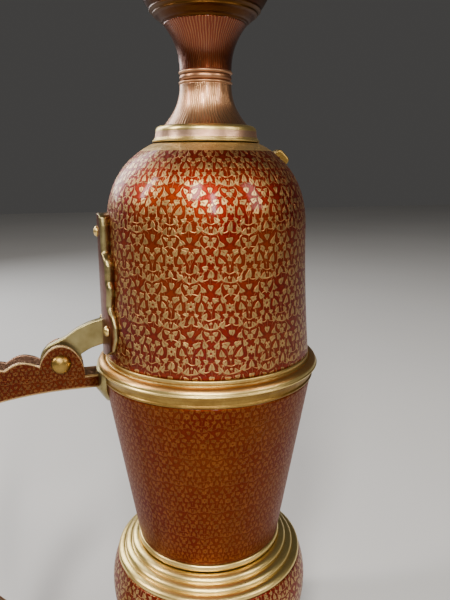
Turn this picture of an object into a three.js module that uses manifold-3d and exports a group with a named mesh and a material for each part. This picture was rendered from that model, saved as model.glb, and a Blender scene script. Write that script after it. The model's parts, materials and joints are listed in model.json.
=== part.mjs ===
// A turned brass ewer with a hinged hood. The tapered cup and the round bulb under it hold the
// water. The tall hood carries a slim neck and a flared mouth, and it tips back on a pin that
// runs between the two cheeks of the channel-section handle.
// Millimetres, +Z up, origin at the centre of the foot's underside, handle towards -X.

import * as THREE from 'three';
import { mergeVertices } from 'three/addons/utils/BufferGeometryUtils.js';
import Module from 'manifold-3d';

const wasm = await Module();
wasm.setup();

// Fits
const GAP = 0.3; // between pieces that touch
const PIN_CLEARANCE = 0.25; // round the hinge pin
const FACET_ROOM = 0.3; // under a rivet's head and tail, where a round wall has flat facets
const SLEEVE_CLEARANCE = 1.2; // between the hood's sleeve and the rim's bore

// Sheet and cast thicknesses
const SHEET = 1.3;
const FOOT_SHEET = 1.5;
const BASE_SHEET = 1.5;
const CHEEK_SHEET = 1.6;
const SOLE_SHEET = 1.6;
const UPPER_PLATE_SHEET = 4.6; // where the handle's arm meets the pad
const UPPER_PLATE_TIP = 0.5;
const LOWER_PLATE_SHEET = 1.6;
const HOOD_PLATE_LIP = 1.0; // the hood plate at its thinnest

// Foot and bulb
const FOOT_RADIUS = 44.6;
const FOOT_HEIGHT = 17;
const FOOT_LIP = 1.3; // rounding of the foot's edge
const WAIST_RADIUS = 31.2;
const WAIST_BEAD_HEIGHT = 2.8;
const BULB_RADIUS = 46.3;
const BULB_DROP = 36.6; // widest level down to the waist
const BULB_RISE = 13.8; // widest level up to the stepped collar
const BULB_CROWN = 40; // half height of the upper ellipse
const STEP_HEIGHT = 7.6;
const STEP_COUNT = 3;
const STEP_ROUND = 0.6; // each ring's top edge
const SEAT_BAND_HEIGHT = 3;

// Tapered cup and rim
const CUP_HEIGHT = 77.8;
const CUP_FOOT_RADIUS = 32.9;
const CUP_TOP_RADIUS = 46.2;
const CUP_BAND_HEIGHT = 4.5;
const CUP_BAND_PROUD = 0.8;
const RIM_OVERHANG = 2.6; // flange beyond the cup's top
const RIM_BEAD = 1.75; // radius of the rolled edge
const RIM_SHEET = 1.6;
const RIM_LEDGE = 3.7; // flange inside the cup's top

// Hood
const HOOD_RING_HEIGHT = 3.6;
const HOOD_INSET = 1.5; // hood's foot inside the cup's top
const HOOD_STEP = 0.4; // the foot band's upper step
const HOOD_TAPER = 2.6; // shoulder inside the hood's foot
const HOOD_WALL_HEIGHT = 51.9;
const DOME_RISE = 39.4;
const DOME_POWER = 2.33; // superellipse, 2 would be an ellipse
const SLEEVE_DEPTH = 5;
const COLLAR_RADIUS = 22.1;
const COLLAR_HEIGHT = 6.6;
const COLLAR_LIP = 1.1;
const COLLAR_STEP = 0.7;
const COLLAR_ROLL = 2; // height of the round shoulder under the neck
const NECK_RADIUS = 10.5;
const NECK_FOOT_RADIUS = 18;
const NECK_LOWER_HEIGHT = 15.5;
const NECK_BEAD_HEIGHT = 4.9;
const NECK_BEAD_PROUD = 0.4;
const NECK_UPPER_HEIGHT = 16.3;
const MOUTH_FOOT_RADIUS = 16.5;
const MOUTH_RADIUS = 26.6;
const MOUTH_HEIGHT = 18.4;
const LIP_BEAD = 1.8;

// Hinge and handle
const PIN_STANDOFF = 14.8; // pin beyond the rim's rolled edge
const PIN_RISE = 2.9; // pin above the rim's flat
const PIN_RADIUS = 2.4;
const PIN_HEAD_RADIUS = 4.1;
const PIN_HEAD_HEIGHT = 2.4;
const WASHER_RADIUS = 5.4;
const WEB_SHEET = 3.6;
const WEB_KNUCKLE = 8.4;
const WEB_ROOT_TOP = 17.2; // web's upper edge above the pin
const WEB_ROOT_FOOT = 6.2;
const EAR_RIM = 8.1; // cheek above the pin
const EAR_HALF_WIDTH = 9.3;
const CHANNEL_WIDTH = 11.7;
const HANDLE_REACH = 108; // finger side of the grip from the axis
const HANDLE_DROP = 6.8; // finger side of the arm below the rim
const HANDLE_FOOT_LEVEL = 38.5;
const ROOT_DEPTH = 5.6;
const ARM_DEPTH = 13.2;
const FOOT_DEPTH = 9;
const SCALLOP_PITCH = 10.6;
const SCALLOP_RISE = 1.8;
const SCALLOP_POINTS = 4;

// Plates and rivets
const PLATE_HEIGHT = 59.3;
const TONGUE_HALF_WIDTH = 17.4;
const TONGUE_ROUND = 10.5; // half the tongue's height, were it a whole ellipse
const TONGUE_END = 2.35; // where the tongue's curve meets the lobes, in radians
const LOBE_LEVELS = [22, 33, 43]; // above the plate's foot
const LOBE_WIDTHS = [12, 11.4, 9.8];
const LOBE_BULGE = 1.5;
const HEAD_HALF_WIDTHS = [7.3, 6.4];
const TONGUE_RIVET_RISE = 13;
const TONGUE_RIVET_OFFSET = 10.5;
const HEAD_RIVET_DROP = 7;
const LEAF_RIVET_MARGIN = 3.4;
const UPPER_LEAF_WIDTH = 9;
const UPPER_LEAF_DROP = 15.6;
const UPPER_LEAF_SHARE = 0.6; // of a whole leaf, cut off by the rim
const LOWER_LEAF_WIDTH = 9;
const LOWER_LEAF_HEIGHT = 22;
const RIVET_SHANK = 1.2;
const RIVET_HEAD = 2.2;
const RIVET_HEAD_HEIGHT = 1.3;
const RIVET_TAIL_HEIGHT = 0.9;
const DRILL_REACH = 8; // either side of the wall's outside
const LUG_WIDTH = 6.5;
const LUG_PROUD = 4;
const LUG_LENGTH = 7;
const LUG_ROUND = 1.2;
const LUG_ROOT_SHARE = 0.62; // of the dome's turn
const LUG_HEAD_SHARE = 0.8;

// Facets
const WIDE_SEGMENTS = 28;
const SLIM_SEGMENTS = 20;
const SMALL_SEGMENTS = 12;
const HANDLE_STEPS = 36;

// Levels, stacked from the foot upwards
const waistBeadLevel = FOOT_HEIGHT + GAP;
const bulbLevel = waistBeadLevel + WAIST_BEAD_HEIGHT + GAP;
const bulbWidest = bulbLevel + BULB_DROP;
const stepLevel = bulbWidest + BULB_RISE + GAP;
const seatBandLevel = stepLevel + STEP_HEIGHT + GAP;
const cupLevel = seatBandLevel + SEAT_BAND_HEIGHT + GAP;
const cupBandLevel = cupLevel + CUP_HEIGHT + GAP;
const rimLevel = cupBandLevel + CUP_BAND_HEIGHT + GAP;
const rimFlat = rimLevel + RIM_BEAD;
const hoodRingLevel = rimFlat + GAP;
const hoodLevel = hoodRingLevel + HOOD_RING_HEIGHT + GAP;
const domeLevel = hoodLevel + HOOD_WALL_HEIGHT;

// Radii that follow from the driving ones
const rimRadius = CUP_TOP_RADIUS + RIM_OVERHANG;
const rimBore = CUP_TOP_RADIUS - RIM_LEDGE;
const hoodRadius = CUP_TOP_RADIUS - HOOD_INSET;
const hoodShoulderRadius = hoodRadius - HOOD_TAPER;
const bandRadius = CUP_TOP_RADIUS + CUP_BAND_PROUD;
const sleeveRadius = rimBore - SLEEVE_CLEARANCE;
const hoodPlateRadius = hoodRadius + GAP + HOOD_PLATE_LIP;
const pinReach = rimRadius + PIN_STANDOFF;
const pinLevel = rimFlat + PIN_RISE;
const armLevel = rimLevel - HANDLE_DROP;

const steps = (count) => Array.from({ length: count + 1 }, (_, i) => i / count);
const mix = (a, b, share) => a + (b - a) * share;

// ---------------------------------------------------------------- profiles, as [radius, height]

// The radius eases from the first to the last value with the given power: the bend is at the foot.
function flare(radii, levels, power, count) {
  return steps(count).map((s) => [
    mix(radii[1], radii[0], (1 - s) ** power),
    mix(levels[0], levels[1], s),
  ]);
}

// The same outline moved towards the axis, or away from it where the distance is negative.
function inset(profile, distance) {
  return profile.map((point, i) => {
    const before = profile[Math.max(i - 1, 0)];
    const after = profile[Math.min(i + 1, profile.length - 1)];
    const length = Math.hypot(after[0] - before[0], after[1] - before[1]);
    const acrossRadius = (after[1] - before[1]) / length;
    const acrossHeight = (after[0] - before[0]) / length;
    return [point[0] - distance * acrossRadius, point[1] + distance * acrossHeight];
  });
}

function arc(radius, level, bead, from, to, count) {
  return steps(count).map((s) => {
    const angle = mix(from, to, s);
    return [radius + bead * Math.cos(angle), level + bead * Math.sin(angle)];
  });
}

// Two quarter ellipses of one width, meeting at the widest level.
function bulbRadius(level) {
  const keel = BULB_DROP / Math.sqrt(1 - (WAIST_RADIUS / BULB_RADIUS) ** 2);
  const half = level < bulbWidest ? keel : BULB_CROWN;
  return BULB_RADIUS * Math.sqrt(1 - ((level - bulbWidest) / half) ** 2);
}

function bulbProfile() {
  const lower = steps(5).map((s) => bulbLevel + BULB_DROP * s);
  const upper = steps(2).map((s) => bulbWidest + BULB_RISE * s);
  return [...lower, ...upper.slice(1)].map((level) => [bulbRadius(level), level]);
}

const bulbTopRadius = bulbProfile().at(-1)[0];

function cupRadius(level) {
  return mix(CUP_FOOT_RADIUS, CUP_TOP_RADIUS, (level - cupLevel) / CUP_HEIGHT);
}

// The cup's straight taper, up to its own top or on to another level.
function cupProfile(top = cupLevel + CUP_HEIGHT) {
  return [
    [CUP_FOOT_RADIUS, cupLevel],
    [cupRadius(top), top],
  ];
}

function hoodWallProfile() {
  const radii = [hoodRadius, hoodShoulderRadius];
  return flare(radii, [hoodLevel, domeLevel], 1.6, 3);
}

// A superellipse from the shoulder up to the collar's radius.
function domePoint(turn) {
  const share = (COLLAR_RADIUS / hoodShoulderRadius) ** (DOME_POWER / 2);
  const angle = turn * Math.acos(share);
  const radius = hoodShoulderRadius * Math.cos(angle) ** (2 / DOME_POWER);
  return [radius, domeLevel + DOME_RISE * Math.sin(angle) ** (2 / DOME_POWER)];
}

const domeProfile = () => steps(6).map(domePoint);

const hoodProfile = [...hoodWallProfile(), ...domeProfile().slice(1)];
const collarLevel = hoodProfile.at(-1)[1] + GAP;
const neckLevel = collarLevel + COLLAR_HEIGHT + GAP;
const neckBeadLevel = neckLevel + NECK_LOWER_HEIGHT + GAP;
const neckUpperLevel = neckBeadLevel + NECK_BEAD_HEIGHT + GAP;
const mouthLevel = neckUpperLevel + NECK_UPPER_HEIGHT + GAP;
const lipLevel = mouthLevel + MOUTH_HEIGHT + GAP;

function hoodRadiusAt(level) {
  const i = hoodProfile.findIndex((point) => point[1] >= level);
  const [low, high] = [hoodProfile[i - 1], hoodProfile[i]];
  return mix(low[0], high[0], (level - low[1]) / (high[1] - low[1]));
}

// ---------------------------------------------------------------- solids

// A profile in order round its edge, spun about the axis.
function turned(profile, segments) {
  const points = profile.map(([radius, level]) => new THREE.Vector2(radius, level));
  const geometry = new THREE.LatheGeometry(points, segments);
  geometry.rotateX(Math.PI / 2);
  return geometry;
}

const closed = (profile) => [...profile, profile[0]];

function shell(outer, wall, segments) {
  return turned(closed([...outer, ...inset(outer, wall).reverse()]), segments);
}

// Everything inside a profile, down to the axis.
function core(outer, segments = WIDE_SEGMENTS) {
  const profile = [[0, outer[0][1]], ...outer, [0, outer.at(-1)[1]]];
  return solid(turned(profile, segments));
}

function disc(radius, level, thickness, segments) {
  const edge = [
    [0, level],
    [radius, level],
    [radius, level + thickness],
    [0, level + thickness],
  ];
  return turned(edge, segments);
}

function solid(geometry) {
  const bare = geometry.clone();
  bare.deleteAttribute('normal');
  bare.deleteAttribute('uv');
  const merged = mergeVertices(bare, 1e-4);
  const corners = Array.from(merged.index.array);
  const kept = [];
  for (let i = 0; i < corners.length; i += 3) {
    const [a, b, c] = corners.slice(i, i + 3);
    if (a !== b && b !== c && c !== a) kept.push(a, b, c);
  }
  const vertProperties = Float32Array.from(merged.attributes.position.array);
  const triVerts = Uint32Array.from(kept);
  return new wasm.Manifold(new wasm.Mesh({ numProp: 3, vertProperties, triVerts }));
}

function geometryOf(manifold) {
  const mesh = manifold.getMesh();
  const geometry = new THREE.BufferGeometry();
  const positions = new THREE.BufferAttribute(mesh.vertProperties, mesh.numProp);
  geometry.setAttribute('position', positions);
  geometry.setIndex(new THREE.BufferAttribute(mesh.triVerts, 1));
  geometry.computeVertexNormals();
  return geometry;
}

// A flat plate in the handle's vertical plane. Outline and holes are [reach, height] lists.
function upright(outline, thickness, middle, holes = []) {
  const place = ([reach, level]) => new THREE.Vector2(-reach, level);
  const shape = new THREE.Shape(outline.map(place));
  shape.holes = holes.map((hole) => new THREE.Path(hole.map(place)));
  const options = { depth: thickness, bevelEnabled: false };
  const geometry = new THREE.ExtrudeGeometry(shape, options);
  geometry.rotateX(Math.PI / 2);
  geometry.translate(0, middle + thickness / 2, 0);
  return geometry;
}

// A block whose outline in [width, height] faces the handle's side and which reaches the axis.
function facing(outline, reach) {
  const shape = new THREE.Shape(outline.map(([y, z]) => new THREE.Vector2(y, z)));
  const options = { depth: reach, bevelEnabled: false };
  const geometry = new THREE.ExtrudeGeometry(shape, options);
  const across = new THREE.Vector3(0, 1, 0);
  const up = new THREE.Vector3(0, 0, 1);
  const along = new THREE.Vector3(1, 0, 0);
  geometry.applyMatrix4(new THREE.Matrix4().makeBasis(across, up, along));
  geometry.translate(-reach, 0, 0);
  return geometry;
}

function circle(reach, level, radius) {
  return steps(SMALL_SEGMENTS).slice(1).map((s) => [
    reach + radius * Math.cos(2 * Math.PI * s),
    level + radius * Math.sin(2 * Math.PI * s),
  ]);
}

// Both halves of an outline given from its foot to its head on the +Y side.
function bothSides(half) {
  const other = half.filter(([y]) => y > 0).map(([y, z]) => [-y, z]);
  return [...half, ...other.reverse()];
}

// ---------------------------------------------------------------- rivets

// A place on a wall: its height, the wall's radius and lean there, and the turn about the axis
// from the handle's plane. The wall is given as its radius at each level.
function seat(radiusAt, level, offset = 0) {
  const radius = radiusAt(level);
  const lean = Math.atan(radiusAt(level + 0.5) - radiusAt(level - 0.5));
  return { level, radius, lean, turn: Math.asin(offset / radius) };
}

// Moves a piece made along +Z from the wall's outside to its seat, square to the wall.
function toSeat(geometry, place) {
  geometry.rotateY(-Math.PI / 2 - place.lean);
  geometry.translate(-place.radius, 0, place.level);
  geometry.rotateZ(place.turn);
  return geometry;
}

function rivetHole(place) {
  const drill = disc(RIVET_SHANK + GAP, -DRILL_REACH, 2 * DRILL_REACH, SMALL_SEGMENTS);
  return solid(toSeat(drill, place));
}

// Head outside the plate, shank through plate and wall, tail spread inside.
function rivet(place, plateThickness) {
  const tailTop = -SHEET - FACET_ROOM - GAP;
  const headFoot = GAP + plateThickness + FACET_ROOM;
  const dome = steps(4).map((s) => [
    RIVET_HEAD * Math.cos((s * Math.PI) / 2),
    headFoot + RIVET_HEAD_HEIGHT * Math.sin((s * Math.PI) / 2),
  ]);
  dome[dome.length - 1][0] = 0;
  const profile = [
    [0, tailTop - RIVET_TAIL_HEIGHT],
    [RIVET_HEAD - GAP, tailTop - RIVET_TAIL_HEIGHT],
    [RIVET_HEAD - GAP, tailTop],
    [RIVET_SHANK, tailTop],
    [RIVET_SHANK, headFoot],
    ...dome,
  ];
  return toSeat(turned(profile, SMALL_SEGMENTS), place);
}

const tongueLevel = hoodLevel + TONGUE_RIVET_RISE;
const hoodSeats = {
  top: seat(hoodRadiusAt, hoodLevel + PLATE_HEIGHT - HEAD_RIVET_DROP),
  near: seat(hoodRadiusAt, tongueLevel, -TONGUE_RIVET_OFFSET),
  far: seat(hoodRadiusAt, tongueLevel, TONGUE_RIVET_OFFSET),
};
const lowerSeats = {
  top: seat(bulbRadius, HANDLE_FOOT_LEVEL + LEAF_RIVET_MARGIN),
  bottom: seat(bulbRadius, HANDLE_FOOT_LEVEL - FOOT_DEPTH - LEAF_RIVET_MARGIN),
};

// ---------------------------------------------------------------- foot, bulb and cup

function footProfile() {
  const lip = [
    [FOOT_RADIUS - FOOT_LIP / 2, 0],
    [FOOT_RADIUS, FOOT_LIP / 2],
    [FOOT_RADIUS, 2 * FOOT_LIP],
  ];
  const radii = [FOOT_RADIUS - FOOT_LIP, WAIST_RADIUS];
  return [...lip, ...flare(radii, [3 * FOOT_LIP, FOOT_HEIGHT], 2.2, 4)];
}

function basePlate() {
  const bore = inset(footProfile(), FOOT_SHEET)[0][0];
  return disc(bore - GAP, 0, BASE_SHEET, WIDE_SEGMENTS);
}

function waistBead() {
  const half = WAIST_BEAD_HEIGHT / 2;
  const bead = arc(WAIST_RADIUS, waistBeadLevel + half, half, -Math.PI / 2, Math.PI / 2, 4);
  const inner = WAIST_RADIUS - FOOT_SHEET;
  const profile = [...bead, [inner, bead.at(-1)[1]], [inner, waistBeadLevel]];
  return turned(closed(profile), WIDE_SEGMENTS);
}

// Two raised bowls that meet at the widest level.
function bulbHalves() {
  const raised = solid(shell(bulbProfile(), SHEET, WIDE_SEGMENTS));
  const pierced = cutHoles(raised, Object.values(lowerSeats));
  return {
    lower: geometryOf(pierced.trimByPlane([0, 0, -1], -bulbWidest)),
    upper: geometryOf(pierced.trimByPlane([0, 0, 1], bulbWidest + GAP)),
  };
}

function bulbFloor() {
  const radius = inset(bulbProfile(), SHEET)[0][0] - 2 * GAP;
  return disc(radius, bulbLevel, SHEET, WIDE_SEGMENTS);
}

// Rings that step in from the bulb's top to the cup's foot, over a straight inner cone.
function stepCollar() {
  const treads = steps(STEP_COUNT).slice(0, -1);
  const topRadius = CUP_FOOT_RADIUS + SHEET;
  const outer = treads.flatMap((s) => {
    const radius = mix(bulbTopRadius, topRadius, s * (STEP_COUNT / (STEP_COUNT - 1)));
    const rise = STEP_HEIGHT / STEP_COUNT;
    const foot = stepLevel + STEP_HEIGHT * s;
    return [
      [radius, foot],
      [radius, foot + rise - STEP_ROUND],
      [radius - STEP_ROUND, foot + rise],
    ];
  });
  const inner = [
    [CUP_FOOT_RADIUS - 2 * SHEET, stepLevel + STEP_HEIGHT],
    [bulbTopRadius - 3 * SHEET, stepLevel],
  ];
  return turned(closed([...outer, ...inner]), WIDE_SEGMENTS);
}

function band(radius, level, height, wall, segments) {
  const outer = [
    [radius, level],
    [radius, level + height],
  ];
  return shell(outer, wall, segments);
}

function cup() {
  const wall = SHEET * Math.hypot(1, (CUP_TOP_RADIUS - CUP_FOOT_RADIUS) / CUP_HEIGHT);
  const outer = cupProfile();
  const inner = outer.map(([radius, level]) => [radius - wall, level]).reverse();
  return turned(closed([...outer, ...inner]), WIDE_SEGMENTS);
}

function rimFlange() {
  const middle = rimRadius - RIM_BEAD;
  const bead = arc(middle, rimFlat, RIM_BEAD, -Math.PI / 2, Math.PI, 6);
  const profile = [
    ...bead,
    [rimBore, rimFlat],
    [rimBore, rimFlat - RIM_SHEET],
    [middle - RIM_BEAD, rimFlat - RIM_SHEET],
  ];
  return turned(closed(profile), WIDE_SEGMENTS);
}

// ---------------------------------------------------------------- hood

function cutHoles(body, seats) {
  return seats.reduce((rest, place) => rest.subtract(rivetHole(place)), body);
}

function hoodRing() {
  const top = hoodRingLevel + HOOD_RING_HEIGHT;
  const middle = hoodRingLevel + HOOD_RING_HEIGHT / 2;
  const bore = sleeveRadius + GAP;
  const widest = rimRadius - 2 * RIM_BEAD - GAP;
  const profile = [
    [bore, hoodRingLevel],
    [widest, hoodRingLevel],
    [widest, middle - HOOD_STEP / 2],
    [widest - HOOD_STEP, middle + HOOD_STEP / 2],
    [widest - HOOD_STEP, top],
    [bore, top],
  ];
  return turned(closed(profile), WIDE_SEGMENTS);
}

function hoodSleeve() {
  const level = rimFlat - SLEEVE_DEPTH;
  const height = SLEEVE_DEPTH + GAP + HOOD_RING_HEIGHT;
  return band(sleeveRadius, level, height, SHEET, WIDE_SEGMENTS);
}

function hood() {
  const raised = solid(shell(hoodProfile, SHEET, WIDE_SEGMENTS));
  return geometryOf(cutHoles(raised, Object.values(hoodSeats)));
}

function shoulderCollar() {
  const outer = [
    [COLLAR_RADIUS, collarLevel],
    [COLLAR_RADIUS, collarLevel + COLLAR_LIP],
    [COLLAR_RADIUS - COLLAR_STEP, collarLevel + COLLAR_LIP + COLLAR_STEP],
    [COLLAR_RADIUS - 2 * COLLAR_STEP, collarLevel + COLLAR_HEIGHT - COLLAR_ROLL],
    [NECK_FOOT_RADIUS + GAP, collarLevel + COLLAR_HEIGHT],
  ];
  return shell(outer, SHEET, WIDE_SEGMENTS);
}

function neckLower() {
  const levels = [neckLevel, neckLevel + NECK_LOWER_HEIGHT];
  const outer = flare([NECK_FOOT_RADIUS, NECK_RADIUS], levels, 2.15, 6);
  return shell(outer, SHEET, SLIM_SEGMENTS);
}

// Two turned edges with a plain band between them.
function neckBead() {
  const proud = NECK_RADIUS + NECK_BEAD_PROUD;
  const flat = NECK_RADIUS;
  const round = NECK_BEAD_PROUD;
  const edge = NECK_BEAD_HEIGHT / 4;
  const top = neckBeadLevel + NECK_BEAD_HEIGHT;
  const bore = NECK_RADIUS - SHEET;
  const profile = [
    [proud - round, neckBeadLevel],
    [proud, neckBeadLevel + edge / 2],
    [flat, neckBeadLevel + edge],
    [flat, top - edge],
    [proud, top - edge / 2],
    [proud - round, top],
    [bore, top],
    [bore, neckBeadLevel],
  ];
  return turned(closed(profile), SLIM_SEGMENTS);
}

function neckUpper() {
  const outer = steps(7).map((s) => [
    mix(NECK_RADIUS, MOUTH_FOOT_RADIUS, s ** 2.3),
    neckUpperLevel + NECK_UPPER_HEIGHT * s,
  ]);
  return shell(outer, SHEET, SLIM_SEGMENTS);
}

function mouthCup() {
  const outer = steps(5).map((s) => [
    mix(MOUTH_FOOT_RADIUS + GAP, MOUTH_RADIUS, 1 - (1 - s) ** 2.15),
    mouthLevel + MOUTH_HEIGHT * s,
  ]);
  return shell(outer, SHEET, SLIM_SEGMENTS);
}

function mouthLip() {
  const middle = MOUTH_RADIUS + LIP_BEAD / 2;
  const bead = arc(middle, lipLevel + LIP_BEAD * 1.5, LIP_BEAD, -Math.PI / 2, Math.PI * 0.9, 6);
  const foot = [MOUTH_RADIUS, lipLevel];
  const inner = [MOUTH_RADIUS - SHEET, lipLevel];
  const rise = [MOUTH_RADIUS - SHEET, lipLevel + LIP_BEAD * 1.5];
  return turned(closed([foot, ...bead, rise, inner]), SLIM_SEGMENTS);
}

// ---------------------------------------------------------------- handle

// The finger side of the handle, from its root under the rim round to its foot on the bulb.
function handleLine() {
  const low = HANDLE_FOOT_LEVEL;
  const arm = (share) => mix(CUP_TOP_RADIUS, HANDLE_REACH, share);
  const leg = (share) => mix(WAIST_RADIUS, HANDLE_REACH, share);
  const drop = (share) => mix(armLevel, low, share);
  const points = [
    [arm(0), drop(0)],
    [arm(0.368), drop(0.0035)],
    [arm(0.691), drop(0.025)],
    [arm(0.863), drop(0.0667)],
    [arm(0.9645), drop(0.154)],
    [arm(1), drop(0.2835)],
    [leg(0.987), drop(0.45)],
    [leg(0.956), drop(0.612)],
    [leg(0.919), drop(0.754)],
    [leg(0.85), drop(0.854)],
    [leg(0.6875), drop(0.9333)],
    [leg(0.479), drop(0.9666)],
    [leg(0.3385), drop(0.9866)],
    [leg(0.052), drop(1)],
  ];
  return new THREE.SplineCurve(points.map(([r, z]) => new THREE.Vector2(r, z)));
}

const line = handleLine();
line.arcLengthDivisions = 400;

// A point at a share of the line's length, moved outwards from the finger side.
function besideLine(share, depth) {
  const point = line.getPointAt(share);
  const tangent = line.getTangentAt(share);
  return [point.x - tangent.y * depth, point.y + tangent.x * depth];
}

// The share of the line at which the ear is behind it.
function shareBeyondEar() {
  const target = pinReach + EAR_HALF_WIDTH;
  return steps(400).find((s) => line.getPointAt(s).x >= target);
}

function earArc() {
  const foot = armLevel + ROOT_DEPTH;
  const height = pinLevel + EAR_RIM - foot;
  return steps(10).map((s) => {
    const angle = mix(Math.PI, 0.42, s);
    return [pinReach + EAR_HALF_WIDTH * Math.cos(angle), foot + height * Math.sin(angle)];
  });
}

// The open edge of a cheek: a run of scallops whose depth eases from the arm to the foot.
function scallops() {
  const first = shareBeyondEar();
  const length = line.getLength() * (1 - first);
  const count = Math.round(length / SCALLOP_PITCH) * SCALLOP_POINTS;
  return steps(count).map((s) => {
    const bump = Math.abs(Math.sin((Math.PI * s * count) / SCALLOP_POINTS));
    const depth = mix(ARM_DEPTH, FOOT_DEPTH, s) + SCALLOP_RISE * bump;
    return besideLine(mix(first, 1, s), depth);
  });
}

function cheekOutline() {
  const root = [CUP_TOP_RADIUS, armLevel + ROOT_DEPTH];
  const finger = steps(HANDLE_STEPS).map((s) => besideLine(s, 0)).reverse();
  return [root, ...earArc(), ...scallops(), ...finger];
}

function soleOutline() {
  const outer = steps(HANDLE_STEPS).map((s) => besideLine(s, SOLE_SHEET));
  const finger = steps(HANDLE_STEPS).map((s) => besideLine(s, 0)).reverse();
  return [...outer, ...finger];
}

const padFoot = rimLevel - GAP - UPPER_LEAF_DROP;

// The upper pad's face: it stands off the cup by little at its tip and most from the arm up.
function padFace(room = 0) {
  const tip = cupRadius(padFoot) + GAP + UPPER_PLATE_TIP + room;
  const root = cupRadius(armLevel) + GAP + UPPER_PLATE_SHEET + room;
  return [[tip, padFoot], [root, armLevel], [root, rimLevel]];
}

// Room round the head of a rivet in the lower pad.
function headRoom(place) {
  const reach = 2 * GAP + LOWER_PLATE_SHEET + FACET_ROOM + RIVET_HEAD_HEIGHT;
  return solid(toSeat(disc(RIVET_HEAD + GAP, 0, reach, SMALL_SEGMENTS), place));
}

// What the handle's ends must clear: the body, the pads on it and their rivets.
function leafClearance() {
  const upper = core([[CUP_FOOT_RADIUS, cupLevel], ...padFace(GAP)]);
  const lower = core(inset(bulbProfile(), -LOWER_PLATE_SHEET - 2 * GAP));
  const heads = Object.values(lowerSeats).map(headRoom);
  return heads.reduce((rest, head) => rest.add(head), upper.add(lower));
}

function cheek(side) {
  const middle = side * (CHANNEL_WIDTH - CHEEK_SHEET) * 0.5;
  const hole = circle(pinReach, pinLevel, PIN_RADIUS + PIN_CLEARANCE);
  const plate = solid(upright(cheekOutline(), CHEEK_SHEET, middle, [hole]));
  return geometryOf(plate.subtract(leafClearance()));
}

const channelInside = CHANNEL_WIDTH - 2 * CHEEK_SHEET;

function sole() {
  const strip = solid(upright(soleOutline(), channelInside - 2 * GAP, 0));
  return geometryOf(strip.subtract(leafClearance()));
}

// A leaf from its lower tip, as wide as the power of a sine makes it.
function leafHalf(width, foot, height, share) {
  return steps(10).map((s) => [
    width * Math.sin(Math.PI * s * share) ** 0.75,
    foot + height * share * s,
  ]);
}

function upperPlate() {
  const half = leafHalf(UPPER_LEAF_WIDTH, padFoot, UPPER_LEAF_DROP / UPPER_LEAF_SHARE, UPPER_LEAF_SHARE);
  const outline = bothSides([...half, [0, rimLevel - GAP]]);
  const block = solid(facing(outline, pinReach));
  const bandRoom = solid(disc(bandRadius + GAP, cupBandLevel - GAP, rimLevel, WIDE_SEGMENTS));
  const leaf = block.intersect(core(padFace())).subtract(core(inset(cupProfile(rimFlat), -GAP)));
  return geometryOf(leaf.subtract(bandRoom));
}

function lowerPlate() {
  const middle = HANDLE_FOOT_LEVEL - FOOT_DEPTH / 2;
  const foot = middle - LOWER_LEAF_HEIGHT / 2;
  const half = leafHalf(LOWER_LEAF_WIDTH, foot, LOWER_LEAF_HEIGHT, 1);
  const block = solid(facing(bothSides(half), pinReach));
  const skin = core(inset(bulbProfile(), -GAP - LOWER_PLATE_SHEET));
  const leaf = block.intersect(skin).subtract(core(inset(bulbProfile(), -GAP)));
  return geometryOf(cutHoles(leaf, Object.values(lowerSeats)));
}

// ---------------------------------------------------------------- hinge

function alongPin(geometry) {
  geometry.rotateX(Math.PI / 2);
  geometry.translate(-pinReach, 0, pinLevel);
  return geometry;
}

// One domed head on the near side, the shank through to the rove on the far side.
function hingePin() {
  const half = CHANNEL_WIDTH / 2;
  const dome = steps(5).map((s) => [
    PIN_HEAD_RADIUS * Math.cos((s * Math.PI) / 2),
    half + GAP + PIN_HEAD_HEIGHT * Math.sin((s * Math.PI) / 2),
  ]);
  dome[dome.length - 1][0] = 0;
  const far = -half - PIN_HEAD_HEIGHT;
  const profile = [[0, far], [PIN_RADIUS, far], [PIN_RADIUS, half + GAP], ...dome];
  return alongPin(turned(profile, SLIM_SEGMENTS));
}

// A domed washer that the pin's far end is spread over.
function pinRove() {
  const bore = PIN_RADIUS + PIN_CLEARANCE;
  const near = -CHANNEL_WIDTH / 2 - GAP;
  const profile = [
    [bore, near - PIN_HEAD_HEIGHT + GAP],
    [bore + 0.6, near - PIN_HEAD_HEIGHT + GAP],
    [PIN_HEAD_RADIUS, near - 0.8],
    [PIN_HEAD_RADIUS, near],
    [bore, near],
  ];
  return alongPin(turned(closed(profile), SLIM_SEGMENTS));
}

function washer(side) {
  const bore = PIN_RADIUS + PIN_CLEARANCE;
  const thickness = (channelInside - WEB_SHEET) / 2 - 2 * GAP;
  const middle = side * (WEB_SHEET / 2 + GAP + thickness / 2);
  const profile = [
    [bore, middle - thickness / 2],
    [WASHER_RADIUS, middle - thickness / 2],
    [WASHER_RADIUS, middle + thickness / 2],
    [bore, middle + thickness / 2],
  ];
  return alongPin(turned(closed(profile), SLIM_SEGMENTS));
}

// The quarter-arc web from the hood's plate to its knuckle on the pin.
function webOutline() {
  const root = hoodShoulderRadius;
  const span = pinReach - hoodPlateRadius;
  const top = pinLevel + WEB_ROOT_TOP;
  const knuckle = steps(12).map((s) => {
    const angle = mix(Math.PI * 0.42, -Math.PI * 1.1, s);
    const sweep = [WEB_KNUCKLE * Math.cos(angle), WEB_KNUCKLE * Math.sin(angle)];
    return [pinReach + sweep[0], pinLevel + sweep[1]];
  });
  return [
    [root, top],
    [hoodPlateRadius, top],
    [hoodPlateRadius + 0.3 * span, top - 0.08 * WEB_ROOT_TOP],
    [hoodPlateRadius + 0.6 * span, top - 0.22 * WEB_ROOT_TOP],
    [hoodPlateRadius + 0.85 * span, top - 0.4 * WEB_ROOT_TOP],
    ...knuckle,
    [hoodPlateRadius + 0.3 * span, pinLevel + 0.75 * WEB_ROOT_FOOT],
    [root, pinLevel + WEB_ROOT_FOOT],
  ];
}

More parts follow.
